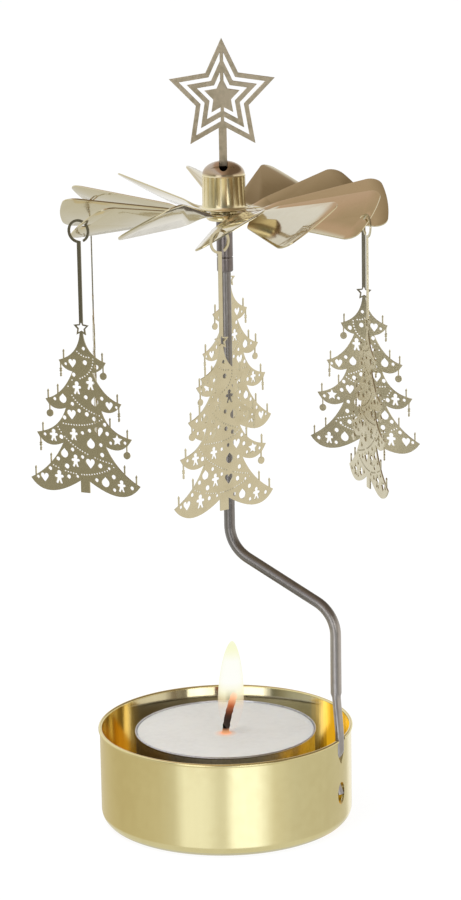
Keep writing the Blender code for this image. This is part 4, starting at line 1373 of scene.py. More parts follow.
@dataclass
class Hub:
    """The domed cap, the eyelet under the disc and the hidden insert."""

    sheet: float = 0.0004
    gap: float = 0.0003
    radius: float = 0.0044
    flare: float = 0.0048
    flare_inset: float = 0.00005
    foot: float = 0.00455
    foot_inset: float = 0.0001
    skirt_shares: Point = (1.1, 4.0)
    wall: float = 0.00035
    wall_height: float = 0.0070
    ridge: float = 0.00005
    ridge_foot: float = 0.00025
    ridge_edge: float = 0.0001
    ridge_step: float = 0.00012
    dome: float = 0.0028
    dome_share: float = 0.985
    stem: float = 0.0016
    slot_gap: float = 0.00006
    slot_start: float = 0.0003
    slot_share: float = 0.70
    overrun: float = 0.0001
    bore: float = 0.0021
    barrel: float = 0.0006
    flange: float = 0.0037
    roll: float = 0.0013
    roll_share: float = 0.1
    stand: float = 0.0014

    def dome_foot(self) -> float:
        """Height over the wheel at which the cap's dome starts."""
        return self.sheet / 2 + self.gap + self.wall_height

    def cap_profile(self) -> list[Point]:
        """Half section of the cap, from the middle of the dome's inside.

        Returns:
            Points of (radius, height).
        """
        foot = self.sheet / 2 + self.gap
        top = self.dome_foot()
        inner = self.radius - self.wall
        ridge = self.radius + self.ridge
        pull, end = self.skirt_shares
        points = [(inner * x, top + (self.dome - self.wall) * y)
                  for x, y in arc((0, 0), 1, math.pi / 2, 0, steps=12)[1:]]
        points.insert(0, (0.0, top + self.dome - self.wall))
        points += [(self.foot - self.wall, foot), (self.flare, foot)]
        points += arc((self.flare - self.flare_inset, foot + self.wall / 2), self.wall / 2,
                      -math.pi / 2, math.pi / 2, steps=6)
        points += curve(points[-1], (self.foot - self.foot_inset, foot + self.wall * pull),
                        (self.radius, foot + self.wall * end), steps=5)
        points += [(self.radius, top - self.ridge_foot), (ridge, top - self.ridge_edge),
                   (ridge - self.ridge_step, top)]
        points += [(self.radius * self.dome_share * x, top + self.dome * y)
                   for x, y in arc((0, 0), 1, 0, math.pi / 2, steps=18)[1:-1]]
        points.append((0.0, top + self.dome))
        return points

    def slot_cutter(self) -> BMesh:
        """The slot for the star's stem, over the wheel's middle.

        Returns:
            The closed cutter.
        """
        half = self.stem / 2 + self.slot_gap
        end = -self.radius * self.slot_share
        slot = [(half, self.slot_start), (-half, self.slot_start), (-half, end)]
        slot += arc((0, end), half, math.pi, math.tau, steps=12)[1:]
        height = self.dome_foot() + self.dome + self.overrun
        return close_up(shifted(thicken(fill([slot]), self.dome * 2), Vector((0, 0, height))))

    def eyelet_profile(self) -> list[Point]:
        """Closed half section of the eyelet.

        Returns:
            Points of (radius, height).
        """
        top = self.sheet / 2 + self.stand
        under = -self.sheet / 2 - self.gap
        half = self.roll / 2
        centre = (self.flange - half, under - half)
        points = [(self.bore + self.barrel, top), (self.bore + self.barrel, under)]
        points += arc(centre, half, math.pi / 2, -math.pi / 2, steps=12)
        points += curve(points[-1], (self.bore + half * self.roll_share, under - self.roll),
                        (self.bore, under - half), steps=6)
        points.append((self.bore, top))
        return points

    def build(self, hub: Vector, finishes: Finishes) -> None:
        """Make the cap and the eyelet, and dress the insert.

        Args:
            hub: the rotor's axis at the wheel's height.
            finishes: the carousel's materials.
        """
        dome = shifted(lathe(self.cap_profile(), segments=120), hub)
        cap = make_piece("hub_dome", dome, finishes.hub, sharp=50)
        carve(cap, [shifted(self.slot_cutter(), hub)], sharp=50)
        seat(cap, Part.ROTOR.value, "hub_brass", "hub_cap")
        clinch = shifted(lathe(self.eyelet_profile(), segments=96, closed=True), hub)
        eyelet = make_piece("hub_clinch", clinch, finishes.hub, sharp=50)
        seat(eyelet, Part.ROTOR.value, "hub_brass", "hub_eyelet")
        dress("bearing_insert", finishes.sleeve)


@dataclass
class StarFinial:
    """Nested hollow stars on a bar, cut from one sheet with their stem."""

    radius: float = 0.0118
    width_share: float = 0.95
    centre: float = 0.1533
    shares: tuple[float, ...] = (1.0, 0.815, 0.665, 0.475, 0.335)
    waist_share: float = 0.50
    bar: float = 0.0007
    stem: float = 0.0016
    foot: float = 0.13915
    sheet: float = 0.0004
    edge_round: float = 0.00007

    def points(self, share: float) -> list[Point]:
        """The ten corners of one star, its first tip straight up.

        Args:
            share: the star's share of the outer one.

        Returns:
            Its corners, clockwise.
        """
        reach = self.radius * share
        return [(x * reach * self.width_share, y * reach)
                for x, y in star_corners(self.waist_share)]

    def gap_loop(self, outer: float, inner: float, side: int) -> list[Point]:
        """One side of the opening between two stars, beside the bar.

        Args:
            outer: share of the star round the opening.
            inner: share of the star inside it.
            side: 1 for the right, -1 for the left.

        Returns:
            The closed loop.
        """
        half = self.bar / 2

        def meet(points: list[Point], first: int, second: int) -> Point:
            """Where an edge of a star meets the bar."""
            (x0, y0), (x1, y1) = points[first], points[second]
            return half, y0 + (y1 - y0) * (half - x0) / (x1 - x0)

        out, inn = self.points(outer), self.points(inner)
        loop = [meet(out, 0, 1)] + out[1:5] + [meet(out, 5, 4)]
        loop += [meet(inn, 5, 4)] + inn[4:0:-1] + [meet(inn, 0, 1)]
        return [(side * x, y) for x, y in loop]

    def build(self, hub: Vector, finishes: Finishes) -> None:
        """Make the star.

        Args:
            hub: the rotor's axis at the wheel's height.
            finishes: the carousel's materials.
        """
        edge = self.points(self.shares[0])
        half = self.stem / 2
        (x4, y4), (_, y5) = edge[4], edge[5]
        join = y5 + (y4 - y5) * half / x4
        low = self.foot - self.centre
        loops = [edge[:5] + [(half, join), (half, low), (-half, low), (-half, join)] + edge[6:]]
        for outer, inner in (self.shares[1:3], self.shares[3:5]):
            loops += [self.gap_loop(outer, inner, 1), self.gap_loop(outer, inner, -1)]
        bm = thicken(fill(loops), self.sheet)
        upright = Matrix.Rotation(math.pi / 2, 4, "X")
        place = Matrix.Translation((hub.x, hub.y, self.centre)) @ upright
        bmesh.ops.transform(bm, matrix=place, verts=bm.verts)
        star = make_piece("star_finial", bm, finishes.star)
        soften(star, self.edge_round)
        seat(star, Part.ROTOR.value, "etched_brass", "star")


class Motif(Enum):
    """Shapes that are etched through a charm."""

    HEART = "heart"
    FIGURE = "figure"
    DROP = "drop"
    STAR = "star"
    CIRCLE = "circle"

    def outline(self) -> list[Point]:
        """The shape about its middle, in shares of the motif's size.

        Returns:
            The closed loop.
        """
        if self is Motif.CIRCLE:
            return circle((0, 0), 1.3, steps=16)
        if self is Motif.STAR:
            return star_corners(0.5)
        if self is Motif.DROP:
            start = math.radians(30)
            return [(0.0, 1.4)] + arc((0, 0), 1, start, -math.pi - start, steps=18)
        if self is Motif.HEART:
            right = curve((0.0, -1.10), (0.60, -0.45), (0.92, 0.10), steps=5)
            right += arc((0.46, 0.38), 0.50, -0.35, math.pi * 0.86, steps=9)
            return [(0.0, -1.10)] + right + [(0.0, 0.40)] + mirrored(right)
        right = arc((0.0, 0.74), 0.38, math.pi / 2, -0.7, steps=6)
        right += [(0.30, 0.44), (0.66, 0.42), (0.80, 0.20), (0.68, -0.02), (0.36, -0.04),
                  (0.40, -0.40), (0.58, -0.86), (0.42, -1.00), (0.18, -0.92)]
        return right + [(0.0, -0.48)] + mirrored(right[1:])


@dataclass(frozen=True)
class Tier:
    """One tier of a tree, as shares of its half width and of its height."""

    tip: Point
    notch: Point
    slope_pull: Point
    lobe_pull: Point


@dataclass
class TreeCharm:
    """A charm: ring hook, strap, hollow star and a tree in four tiers."""

    number: int
    yaw: float
    sheet: float = 0.00028
    ring: float = 0.0024
    ring_ends: Point = (math.radians(-62), math.radians(262))
    band: float = 0.0005
    lift: float = 0.00055
    drop: float = 0.0006
    strap: float = 0.0008
    strap_length: float = 0.01625
    star: float = 0.00178
    star_hollow_share: float = 0.66
    star_waist_share: float = 0.5
    height: float = 0.0329
    half_width: float = 0.0124
    apex_share: float = 0.026
    tier_steps: int = 12
    candle_height: float = 0.00175
    candle_width: float = 0.00024
    candle_bulge_share: float = 0.28
    candle_shares: tuple[float, ...] = (-0.3, -0.18, 0.04)
    bauble: float = 0.00074
    thread: float = 0.0011
    thread_width: float = 0.0002
    flake: float = 0.0004
    flake_drops: tuple[Point, ...] = ((0.0010, 1.0), (0.0021, 0.75))
    flake_corner_share: float = 0.7
    flake_waist_share: float = 0.4
    dot: float = 0.00019
    dot_pitch: float = 0.00058
    dot_edge_share: float = 3.0
    dot_motif_share: float = 1.25
    dot_motif_gap: float = 0.0003
    garland_steps: int = 200

    # charms that take the etched brass with painted shade
    PAINTED_SHADE_CHARMS = (3, 6)
    TIERS = (
        Tier((0.425, 0.175), (0.180, 0.242), (0.10, 0.80), (0.36, 0.062)),
        Tier((0.690, 0.425), (0.320, 0.474), (0.34, 0.84), (0.36, 0.084)),
        Tier((0.865, 0.640), (0.385, 0.696), (0.22, 0.86), (0.36, 0.112)),
        Tier((1.000, 0.932), (0.082, 0.926), (0.32, 0.66), (0.30, 0.150)),
    )
    CANDLE_SHARES = {
        1: ((0.05,), (0.06,), (0.38, 0.07), (0.27, 0.06)),
        -1: ((0.08,), (0.22, 0.04), (0.10,), (0.37, 0.08)),
    }
    BAUBLE_TIERS = {1: (0, 2), -1: (1,)}
    FLAKE_TIERS = {1: (1,), -1: (0, 2)}
    MOTIF_SHARES = {
        Motif.HEART: (
            (-0.18, 0.190, 0.074), (0.47, 0.440, 0.072), (-0.22, 0.512, 0.084),
            (0.27, 0.606, 0.080), (0.10, 0.812, 0.086), (-0.75, 0.924, 0.078),
        ),
        Motif.FIGURE: (
            (-0.11, 0.346, 0.104), (0.14, 0.312, 0.104), (-0.56, 0.655, 0.098),
            (-0.19, 0.640, 0.096), (-0.17, 0.806, 0.100), (-0.48, 0.918, 0.108),
            (0.66, 0.940, 0.096),
        ),
        Motif.DROP: (
            (-0.37, 0.420, 0.068), (0.21, 0.424, 0.066), (0.12, 0.690, 0.074),
            (-0.37, 0.764, 0.068), (0.37, 0.926, 0.072),
        ),
        Motif.STAR: ((0.60, 0.652, 0.100),),
        Motif.CIRCLE: (
            (0.03, 0.095, 0.024), (0.05, 0.182, 0.032), (0.26, 0.204, 0.030),
            (-0.16, 0.262, 0.028), (-0.52, 0.423, 0.023), (0.05, 0.398, 0.028),
            (0.34, 0.398, 0.026), (0.60, 0.446, 0.020), (-0.20, 0.446, 0.026),
            (-0.08, 0.486, 0.026), (0.06, 0.504, 0.030), (-0.35, 0.536, 0.028),
            (0.19, 0.530, 0.030), (0.38, 0.560, 0.026), (-0.72, 0.652, 0.022),
            (-0.42, 0.660, 0.030), (-0.03, 0.624, 0.024), (0.10, 0.606, 0.026),
            (0.42, 0.616, 0.028), (0.30, 0.690, 0.026), (-0.22, 0.734, 0.026),
            (0.32, 0.752, 0.030), (-0.49, 0.800, 0.028), (-0.33, 0.842, 0.034),
            (-0.04, 0.776, 0.024), (0.28, 0.822, 0.032), (-0.64, 0.866, 0.026),
            (-0.87, 0.926, 0.022), (-0.30, 0.908, 0.028), (0.52, 0.884, 0.030),
            (0.21, 0.914, 0.026), (0.85, 0.944, 0.026), (0.53, 0.966, 0.024),
            (0.74, 0.664, 0.022), (0.48, 0.672, 0.022), (-0.14, 0.902, 0.020),
            (-0.30, 0.198, 0.020), (0.44, 0.834, 0.020),
        ),
    }
    GARLAND_SHARES = (
        ((-0.12, 0.104), (0.03, 0.168), (0.22, 0.140)),
        ((0.20, 0.150), (0.20, 0.285), (-0.26, 0.300)),
        ((-0.28, 0.323), (-0.20, 0.465), (0.34, 0.512)),
        ((0.33, 0.528), (0.06, 0.602), (-0.52, 0.566)),
        ((-0.50, 0.582), (-0.28, 0.748), (0.52, 0.806)),
        ((0.53, 0.823), (-0.04, 0.950), (-0.66, 0.828)),
    )

    def ring_height(self) -> float:
        """Height of the ring's centre over the axis that the charm swings about."""
        return self.drop + self.lift - (self.ring - self.band)

    def star_height(self) -> float:
        """Height of the star's centre over that axis."""
        return self.ring_height() - self.ring - self.strap_length - self.star / 2

    def tree_top(self) -> float:
        """Where the tree grows out of the star's foot."""
        return self.star_height() - self.star / 2 - self.strap / 4

    def on_tree(self, shares: Point) -> Point:
        """A point of the tree from its shares across and down."""
        return shares[0] * self.half_width, self.tree_top() - shares[1] * self.height

    def motifs(self) -> Iterator[tuple[Motif, Point, float]]:
        """Every cut-out of the tree.

        Returns:
            Kind, centre and size of each.
        """
        for kind, places in self.MOTIF_SHARES.items():
            for across, down, size in places:
                yield kind, self.on_tree((across, down)), size * self.half_width

    @staticmethod
    def height_on(points: Sequence[Point], x: float) -> float:
        """Height of a line at some distance from the middle.

        Args:
            points: the line, which goes outwards.
            x: the distance.

        Returns:
            The height there, or at its end if the line is shorter.
        """
        for (x0, y0), (x1, y1) in zip(points, points[1:]):
            if x0 <= x <= x1:
                return y0 + (y1 - y0) * (x - x0) / (x1 - x0)
        return points[-1][1]

    def with_candles(self, points: list[Point], insets: Sequence[float]) -> list[Point]:
        """Stand candles on a slope, each with a small flame.

        Args:
            points: the slope, which goes outwards.
            insets: how far each candle stands from its end.

        Returns:
            The slope with the candles.
        """
        foot, belly, tip = (share * self.candle_height for share in self.candle_shares)
        bulge = self.candle_width * self.candle_bulge_share
        slope = list(points)
        for inset in insets:
            outer = points[-1][0] - inset
            inner = outer - self.candle_width
            top = self.height_on(points, inner) + self.candle_height
            before = [p for p in slope if p[0] < inner - self.candle_width / 2]
            after = [p for p in slope if p[0] > outer + self.candle_width / 2]
            slope = before + [
                (inner, self.height_on(points, inner)), (inner, top + foot),
                (inner - bulge, top + belly), ((inner + outer) / 2, top + tip),
                (outer + bulge, top + belly), (outer, top + foot),
                (outer, self.height_on(points, outer)),
            ] + after
        return slope

    def hang(self, points: list[Point], at: int, right: list[Point]) -> list[Point]:
        """Hang a shape on a thread under a lobe.

        Args:
            points: the lobe, which goes inwards.
            at: number of the point that the thread starts from.
            right: the shape's right side, from its thread down to its middle,
                as steps sideways from that point with their heights.

        Returns:
            The lobe with the shape.
        """
        x, y = points[at]
        half = self.thread_width / 2
        before = [p for p in points[:at] if p[0] > x + half]
        after = [p for p in points[at + 1:] if p[0] < x - half]
        side = [(half, y)] + right
        hung = [(x + dx, height) for dx, height in side]
        hung += [(x - dx, height) for dx, height in reversed(side) if dx > 0]
        return before + hung + after

    def with_bauble(self, points: list[Point]) -> list[Point]:
        """Hang a bauble under the outer part of a lobe.

        Args:
            points: the lobe, which goes inwards.

        Returns:
            The lobe with the bauble.
        """
        at = len(points) // 4
        middle = points[at][1] - self.thread - self.bauble
        opening = math.asin(self.thread_width / 2 / self.bauble)
        right = arc((0, middle), self.bauble, math.pi / 2 - opening, -math.pi / 2, steps=12)
        right[-1] = (0.0, right[-1][1])
        return self.hang(points, at, right)

    def with_flakes(self, points: list[Point]) -> list[Point]:
        """Hang two small flakes under the outer part of a lobe.

        Args:
            points: the lobe, which goes inwards.

        Returns:
            The lobe with the flakes.
        """
        at = len(points) // 5
        half = self.thread_width / 2
        right = []
        for drop, share in self.flake_drops:
            reach = self.flake * share
            corner = reach * self.flake_corner_share
            middle = points[at][1] - drop - reach
            right += [(half, middle + reach), (corner, middle + corner),
                      (reach * self.flake_waist_share, middle), (corner, middle - corner),
                      (half, middle - reach)]
        right[-1] = (0.0, right[-1][1] - self.flake * self.flake_waist_share)
        return self.hang(points, at, right)

    def tree_side(self, side: int) -> list[Point]:
        """One side of the tree, drawn on the right.

        Args:
            side: 1 for the right side, -1 for the left one.

        Returns:
            Its edge, from the apex to the trunk.
        """
        points = [(self.apex_share * self.half_width, self.tree_top())]
        for number, tier in enumerate(self.TIERS):
            (x0, y0), (x1, y1) = points[-1], self.on_tree(tier.tip)
            pull = (x0 + (x1 - x0) * tier.slope_pull[0], y0 + (y1 - y0) * tier.slope_pull[1])
            slope = [(x0, y0)] + curve((x0, y0), pull, (x1, y1), self.tier_steps)
            insets = [share * self.half_width for share in self.CANDLE_SHARES[side][number]]
            points += self.with_candles(slope, insets)[1:]
            foot = self.on_tree(tier.notch)
            pull = (x1 + (foot[0] - x1) * tier.lobe_pull[0], y1 - tier.lobe_pull[1] * self.height)
            lobe = [(x1, y1)] + curve((x1, y1), pull, foot, self.tier_steps)
            if number in self.BAUBLE_TIERS[side]:
                lobe = self.with_bauble(lobe)
            elif number in self.FLAKE_TIERS[side]:
                lobe = self.with_flakes(lobe)
            points += lobe[1:]
        points.append((points[-1][0], self.tree_top() - self.height))
        return points

    @staticmethod
    def inner_distance(point: Point, outline: Sequence[Point]) -> float:
        """How far inside an outline a point lies.

        Args:
            point: the point.
            outline: the closed outline.

        Returns:
            The distance, negative outside the outline.
        """
        tiny = 1e-16
        inside = False
        nearest = math.inf
        for (x0, y0), (x1, y1) in zip(outline, list(outline[1:]) + [outline[0]]):
            if (y0 > point[1]) != (y1 > point[1]):
                if point[0] < x0 + (point[1] - y0) * (x1 - x0) / (y1 - y0):
                    inside = not inside
            square = max((x1 - x0) ** 2 + (y1 - y0) ** 2, tiny)
            along = (point[0] - x0) * (x1 - x0) + (point[1] - y0) * (y1 - y0)
            share = clip(along / square)
            foot = (x0 + share * (x1 - x0), y0 + share * (y1 - y0))
            nearest = min(nearest, math.dist(point, foot))
        return nearest if inside else -nearest

    def dots(self, outline: Sequence[Point]) -> list[list[Point]]:
        """Fine holes in strings between the cut-outs.

        Args:
            outline: the sheet's edge, which the holes keep away from.

        Returns:
            The loops of the holes.
        """
        taken = [(centre, size * self.dot_motif_share + self.dot_motif_gap)
                 for _, centre, size in self.motifs()]
        margin = self.dot * self.dot_edge_share
        centres = []
        for garland in self.GARLAND_SHARES:
            for point in curve(*(self.on_tree(place) for place in garland), self.garland_steps):
                clear = all(math.dist(point, c) > self.dot_pitch for c in centres)
                free = all(math.dist(point, c) > reach for c, reach in taken)
                if clear and free and self.inner_distance(point, outline) > margin:
                    centres.append(point)
        return [circle(centre, self.dot, steps=8) for centre in centres]

    def loops(self) -> list[list[Point]]:
        """Outline and cut-outs with the swing's axis at the origin.

        Returns:
            The closed loops, the outline first.
        """
        centre = (0.0, self.ring_height())
        start, end = self.ring_ends
        half = self.strap / 2
        merge = math.tau - math.acos(-half / self.ring)
        inner = arc(centre, self.ring - self.band, start, end, steps=44)
        outer = arc(centre, self.ring, merge, start, steps=48)
        star, hollow = (
            [(self.star * share * x, self.star_height() + self.star * share * y)
             for x, y in star_corners(self.star_waist_share)]
            for share in (1.0, self.star_hollow_share)
        )
        outline = inner + [(half, inner[-1][1] - self.band / 4), (half, star[1][1])]
        outline += star[1:5] + self.tree_side(1) + mirrored(self.tree_side(-1))
        outline += star[6:] + [(-half, star[9][1])] + outer
        cuts = [[(x + dx * size, y + dy * size) for dx, dy in kind.outline()]
                for kind, (x, y), size in self.motifs()]
        return [outline, hollow] + cuts + self.dots(outline)

    def build(self, flat: bpy.types.Mesh, finishes: Finishes) -> None:
        """Place the sheet on its blade's hook hole.

        Args:
            flat: the charm's sheet in its own plane.
            finishes: the carousel's materials.
        """
        name = f"charm_{self.number}"
        joint = next(j for j in FRAME["joints"] if j["child"] == name)
        bm = bmesh.new()
        bm.from_mesh(flat)
        place = (Matrix.Translation(joint["pos_m"]) @ Matrix.Rotation(self.yaw, 4, "Z")
                 @ Matrix.Rotation(math.pi / 2, 4, "X"))
        bmesh.ops.transform(bm, matrix=place, verts=bm.verts)
        # charms 3 and 6 take the copy with painted shade
        finish = finishes.etched_painted_shade if self.number in self.PAINTED_SHADE_CHARMS else finishes.etched
        charm = make_piece(f"tree_{self.number}", bm, finish, sharp=30)
        seat(charm, name, "etched_brass", name)


@dataclass
class CharmSet:
    """The charms round the rotor, each turned about its own hole."""

    phase: float = ROTOR_PHASE
    first_bearing: float = math.radians(270)
    yaws: tuple[float, ...] = (126.7, 133.6, 124.1, 134.0, 122.0, 123.0)

    def build(self, finishes: Finishes) -> None:
        """Make one sheet and hang it once for each yaw.

        Args:
            finishes: the carousel's materials.
        """
        flat: bpy.types.Mesh | None = None
        for k, yaw in enumerate(self.yaws):
            bearing = self.first_bearing + math.tau * k / len(self.yaws) + self.phase
            charm = TreeCharm(k + 1, bearing + math.radians(yaw))
            if flat is None:
                bm = thicken(fill(charm.loops()), charm.sheet)
                open_edges = sum(1 for edge in bm.edges if not edge.is_manifold)
                LOG.info("charm sheet: %d faces, %d open edges", len(bm.faces), open_edges)
                flat = to_mesh("charm_sheet", bm)
            charm.build(flat, finishes)
        bpy.data.meshes.remove(flat)


@dataclass
class Tealight:
    """The burning tealight: foil cup, wax, wick and flame."""

    base: float = 0.0008
    radius: float = 0.0192
    height: float = 0.0186
    wall: float = 0.00015
    corner: float = 0.0012
    lip: float = 0.00026
    lip_start: float = 0.3
    lip_foot_share: float = 2.2
    lip_inset: float = 0.0001
    gap: float = 0.0001
    freeboard: float = 0.0006
    dish: float = 0.0006
    dish_shares: Point = (0.55, 0.25)
    creep: float = 0.0003
    creep_share: float = 1.1
    creep_edge: float = 0.0001
    creep_pull: float = 0.0008
    creep_width: float = 0.0022
    pool_radius: float = 0.0040
    pool_pull: float = 0.0018
    pool_share: float = 1.05
    pool_creep: float = 0.0002
    foot_radius: float = 0.0068
    foot_height: float = 0.0007
    throat_width: float = 0.0006
    throat_low: float = 0.0034
    throat_high: float = 0.0040
    wick_gap: float = 0.00012
    wick_radius: float = 0.00074
    wick_height: float = 0.0088
    wick_lean: float = 0.0021
    wick_power: float = 1.5
    wick_tip_share: float = 0.72
    wick_wave_share: float = 0.07
    wick_wave_step: float = 2.4
    wick_steps: tuple[int, int] = (3, 14)
    flame_place: Tint = (0.0011, 0, 0.0186)
    flame_height: float = 0.0193
    flame_radius: float = 0.0028
    flame_lean: Point = (0.0006, 0.0024)
    flame_power: float = 1.5
    flame_shares: tuple[Point, ...] = (
        (0.00, 0.00), (0.02, 0.26), (0.07, 0.50), (0.15, 0.75), (0.23, 0.91),
        (0.32, 1.00), (0.43, 0.99), (0.55, 0.94), (0.66, 0.85), (0.76, 0.73),
        (0.84, 0.60), (0.91, 0.45), (0.96, 0.29), (0.99, 0.14), (1.00, 0.00),
    )

    def foil_profile(self) -> list[Point]:
        """Half section of the foil cup with its turned lip.

        Returns:
            Points of (radius, height).
        """
        skirt = self.radius - self.lip
        inner = skirt - self.wall
        corner = (skirt - self.corner, self.corner)
        lip = (skirt, self.height - self.lip)
        points = [(0.0, 0.0)]
        points += arc(corner, self.corner, -math.pi / 2, 0, steps=6)
        points.append((skirt, self.height - self.lip * self.lip_foot_share))
        points += arc(lip, self.lip, -math.pi / 2 + self.lip_start, math.pi / 2, steps=8)
        points += [(inner + self.lip_inset, self.height), (inner, self.height - self.lip)]
        points += arc(corner, self.corner - self.wall, 0, -math.pi / 2, steps=5)
        points.append((0.0, self.wall))
        return points

    def wax_profile(self) -> list[Point]:
        """Closed half section of the wax, creeping up its wall and round the wick.

        Returns:
            Points of (radius, height).
        """
        bottom = self.wall + self.gap
        skirt = self.radius - self.lip - self.wall - self.gap
        top = self.height - self.freeboard
        low = top - self.dish
        bore = self.wick_radius + self.wick_gap
        wide, deep = self.dish_shares
        crest = (skirt - self.creep_edge, top + self.creep * self.creep_share)
        shore = (skirt - self.creep_width, top)
        pool = (self.pool_radius, low)
        points = [(self.foot_radius, bottom), (skirt - self.corner, bottom),
                  (skirt, bottom + self.corner), (skirt, top + self.creep), crest]
        points += curve(crest, (skirt - self.creep_pull, top), shore, steps=8)
        points += curve(shore, (skirt * wide, top - self.dish * deep), pool, steps=10)
        points += curve(pool, (self.pool_pull, top - self.dish * self.pool_share),
                        (bore, low + self.pool_creep), steps=6)
        points += [(bore, bottom + self.throat_high),
                   (bore + self.throat_width, bottom + self.throat_low),
                   (bore + self.throat_width, bottom + self.foot_height),
                   (self.foot_radius, bottom + self.foot_height)]
        return points

    def wick_stations(self) -> Stations:
        """The wick: straight in the wax, leaning and curled above it.

        Returns:
            Place and half sizes of each section.
        """
        bottom = self.base + self.wall + self.gap
        surface = self.base + self.height - self.freeboard - self.dish
        sunk, free = self.wick_steps
        points = [Vector((0, 0, bottom + (surface - bottom) * k / sunk)) for k in range(sunk + 1)]
        for share in (k / free for k in range(1, free + 1)):
            points.append(Vector((self.wick_lean * share ** self.wick_power, 0,
                                  surface + self.wick_height * share)))
        last = len(points) - 1
        found = []
        for k, point in enumerate(points):
            along = points[min(k + 1, last)] - points[max(k - 1, 0)]
            lean = math.atan2(along.x, along.z)
            radius = self.wick_radius * (self.wick_tip_share if k == last else 1.0)
            radius *= 1.0 + self.wick_wave_share * math.sin(k * self.wick_wave_step)
            place = Matrix.Translation(point) @ Matrix.Rotation(lean, 4, "Y")
            found.append((place, radius, radius))
        return found

    def flame_shape(self) -> BMesh:
        """The flame over the wick, leaning away from the post.

        Returns:
            The closed surface.
        """
        flame = lathe([(self.flame_radius * wide, self.flame_height * up)
                       for up, wide in self.flame_shares], segments=64)
        for vert in flame.verts:
            share = (max(0.0, vert.co.z) / self.flame_height) ** self.flame_power
            vert.co.xy += Vector(self.flame_lean) * share
        return shifted(flame, Vector(self.flame_place))

    def build(self, finishes: Finishes) -> None:
        """Make the tealight's pieces and dress the wick's foot.

        Args:
            finishes: the carousel's materials.
        """
        lift = Vector((0, 0, self.base))
        body = Part.TEALIGHT.value
        foil = shifted(lathe(self.foil_profile(), segments=144), lift)
        seat(make_piece("tealight_foil_cup", foil, finishes.foil), body,
             "tealight_aluminium", "tealight_cup")
        wax = shifted(lathe(self.wax_profile(), segments=120, closed=True), lift)
        seat(make_piece("wax_block", wax, finishes.wax, sharp=60), body,
             "candle_wax", "tealight_wax")
        wick = sweep(self.wick_stations(), sides=16)
        seat(make_piece("wick_cord", wick, finishes.wick, sharp=60), body, "wick_char", "wick")
        flame = make_piece("flame", self.flame_shape(), finishes.flame, sharp=180)
        flame.visible_shadow = False
        rounder = flame.modifiers.new("round", "SUBSURF")
        rounder.levels = rounder.render_levels = 2
        seat(flame, body, None)
        dress("wick_foot", finishes.foil)


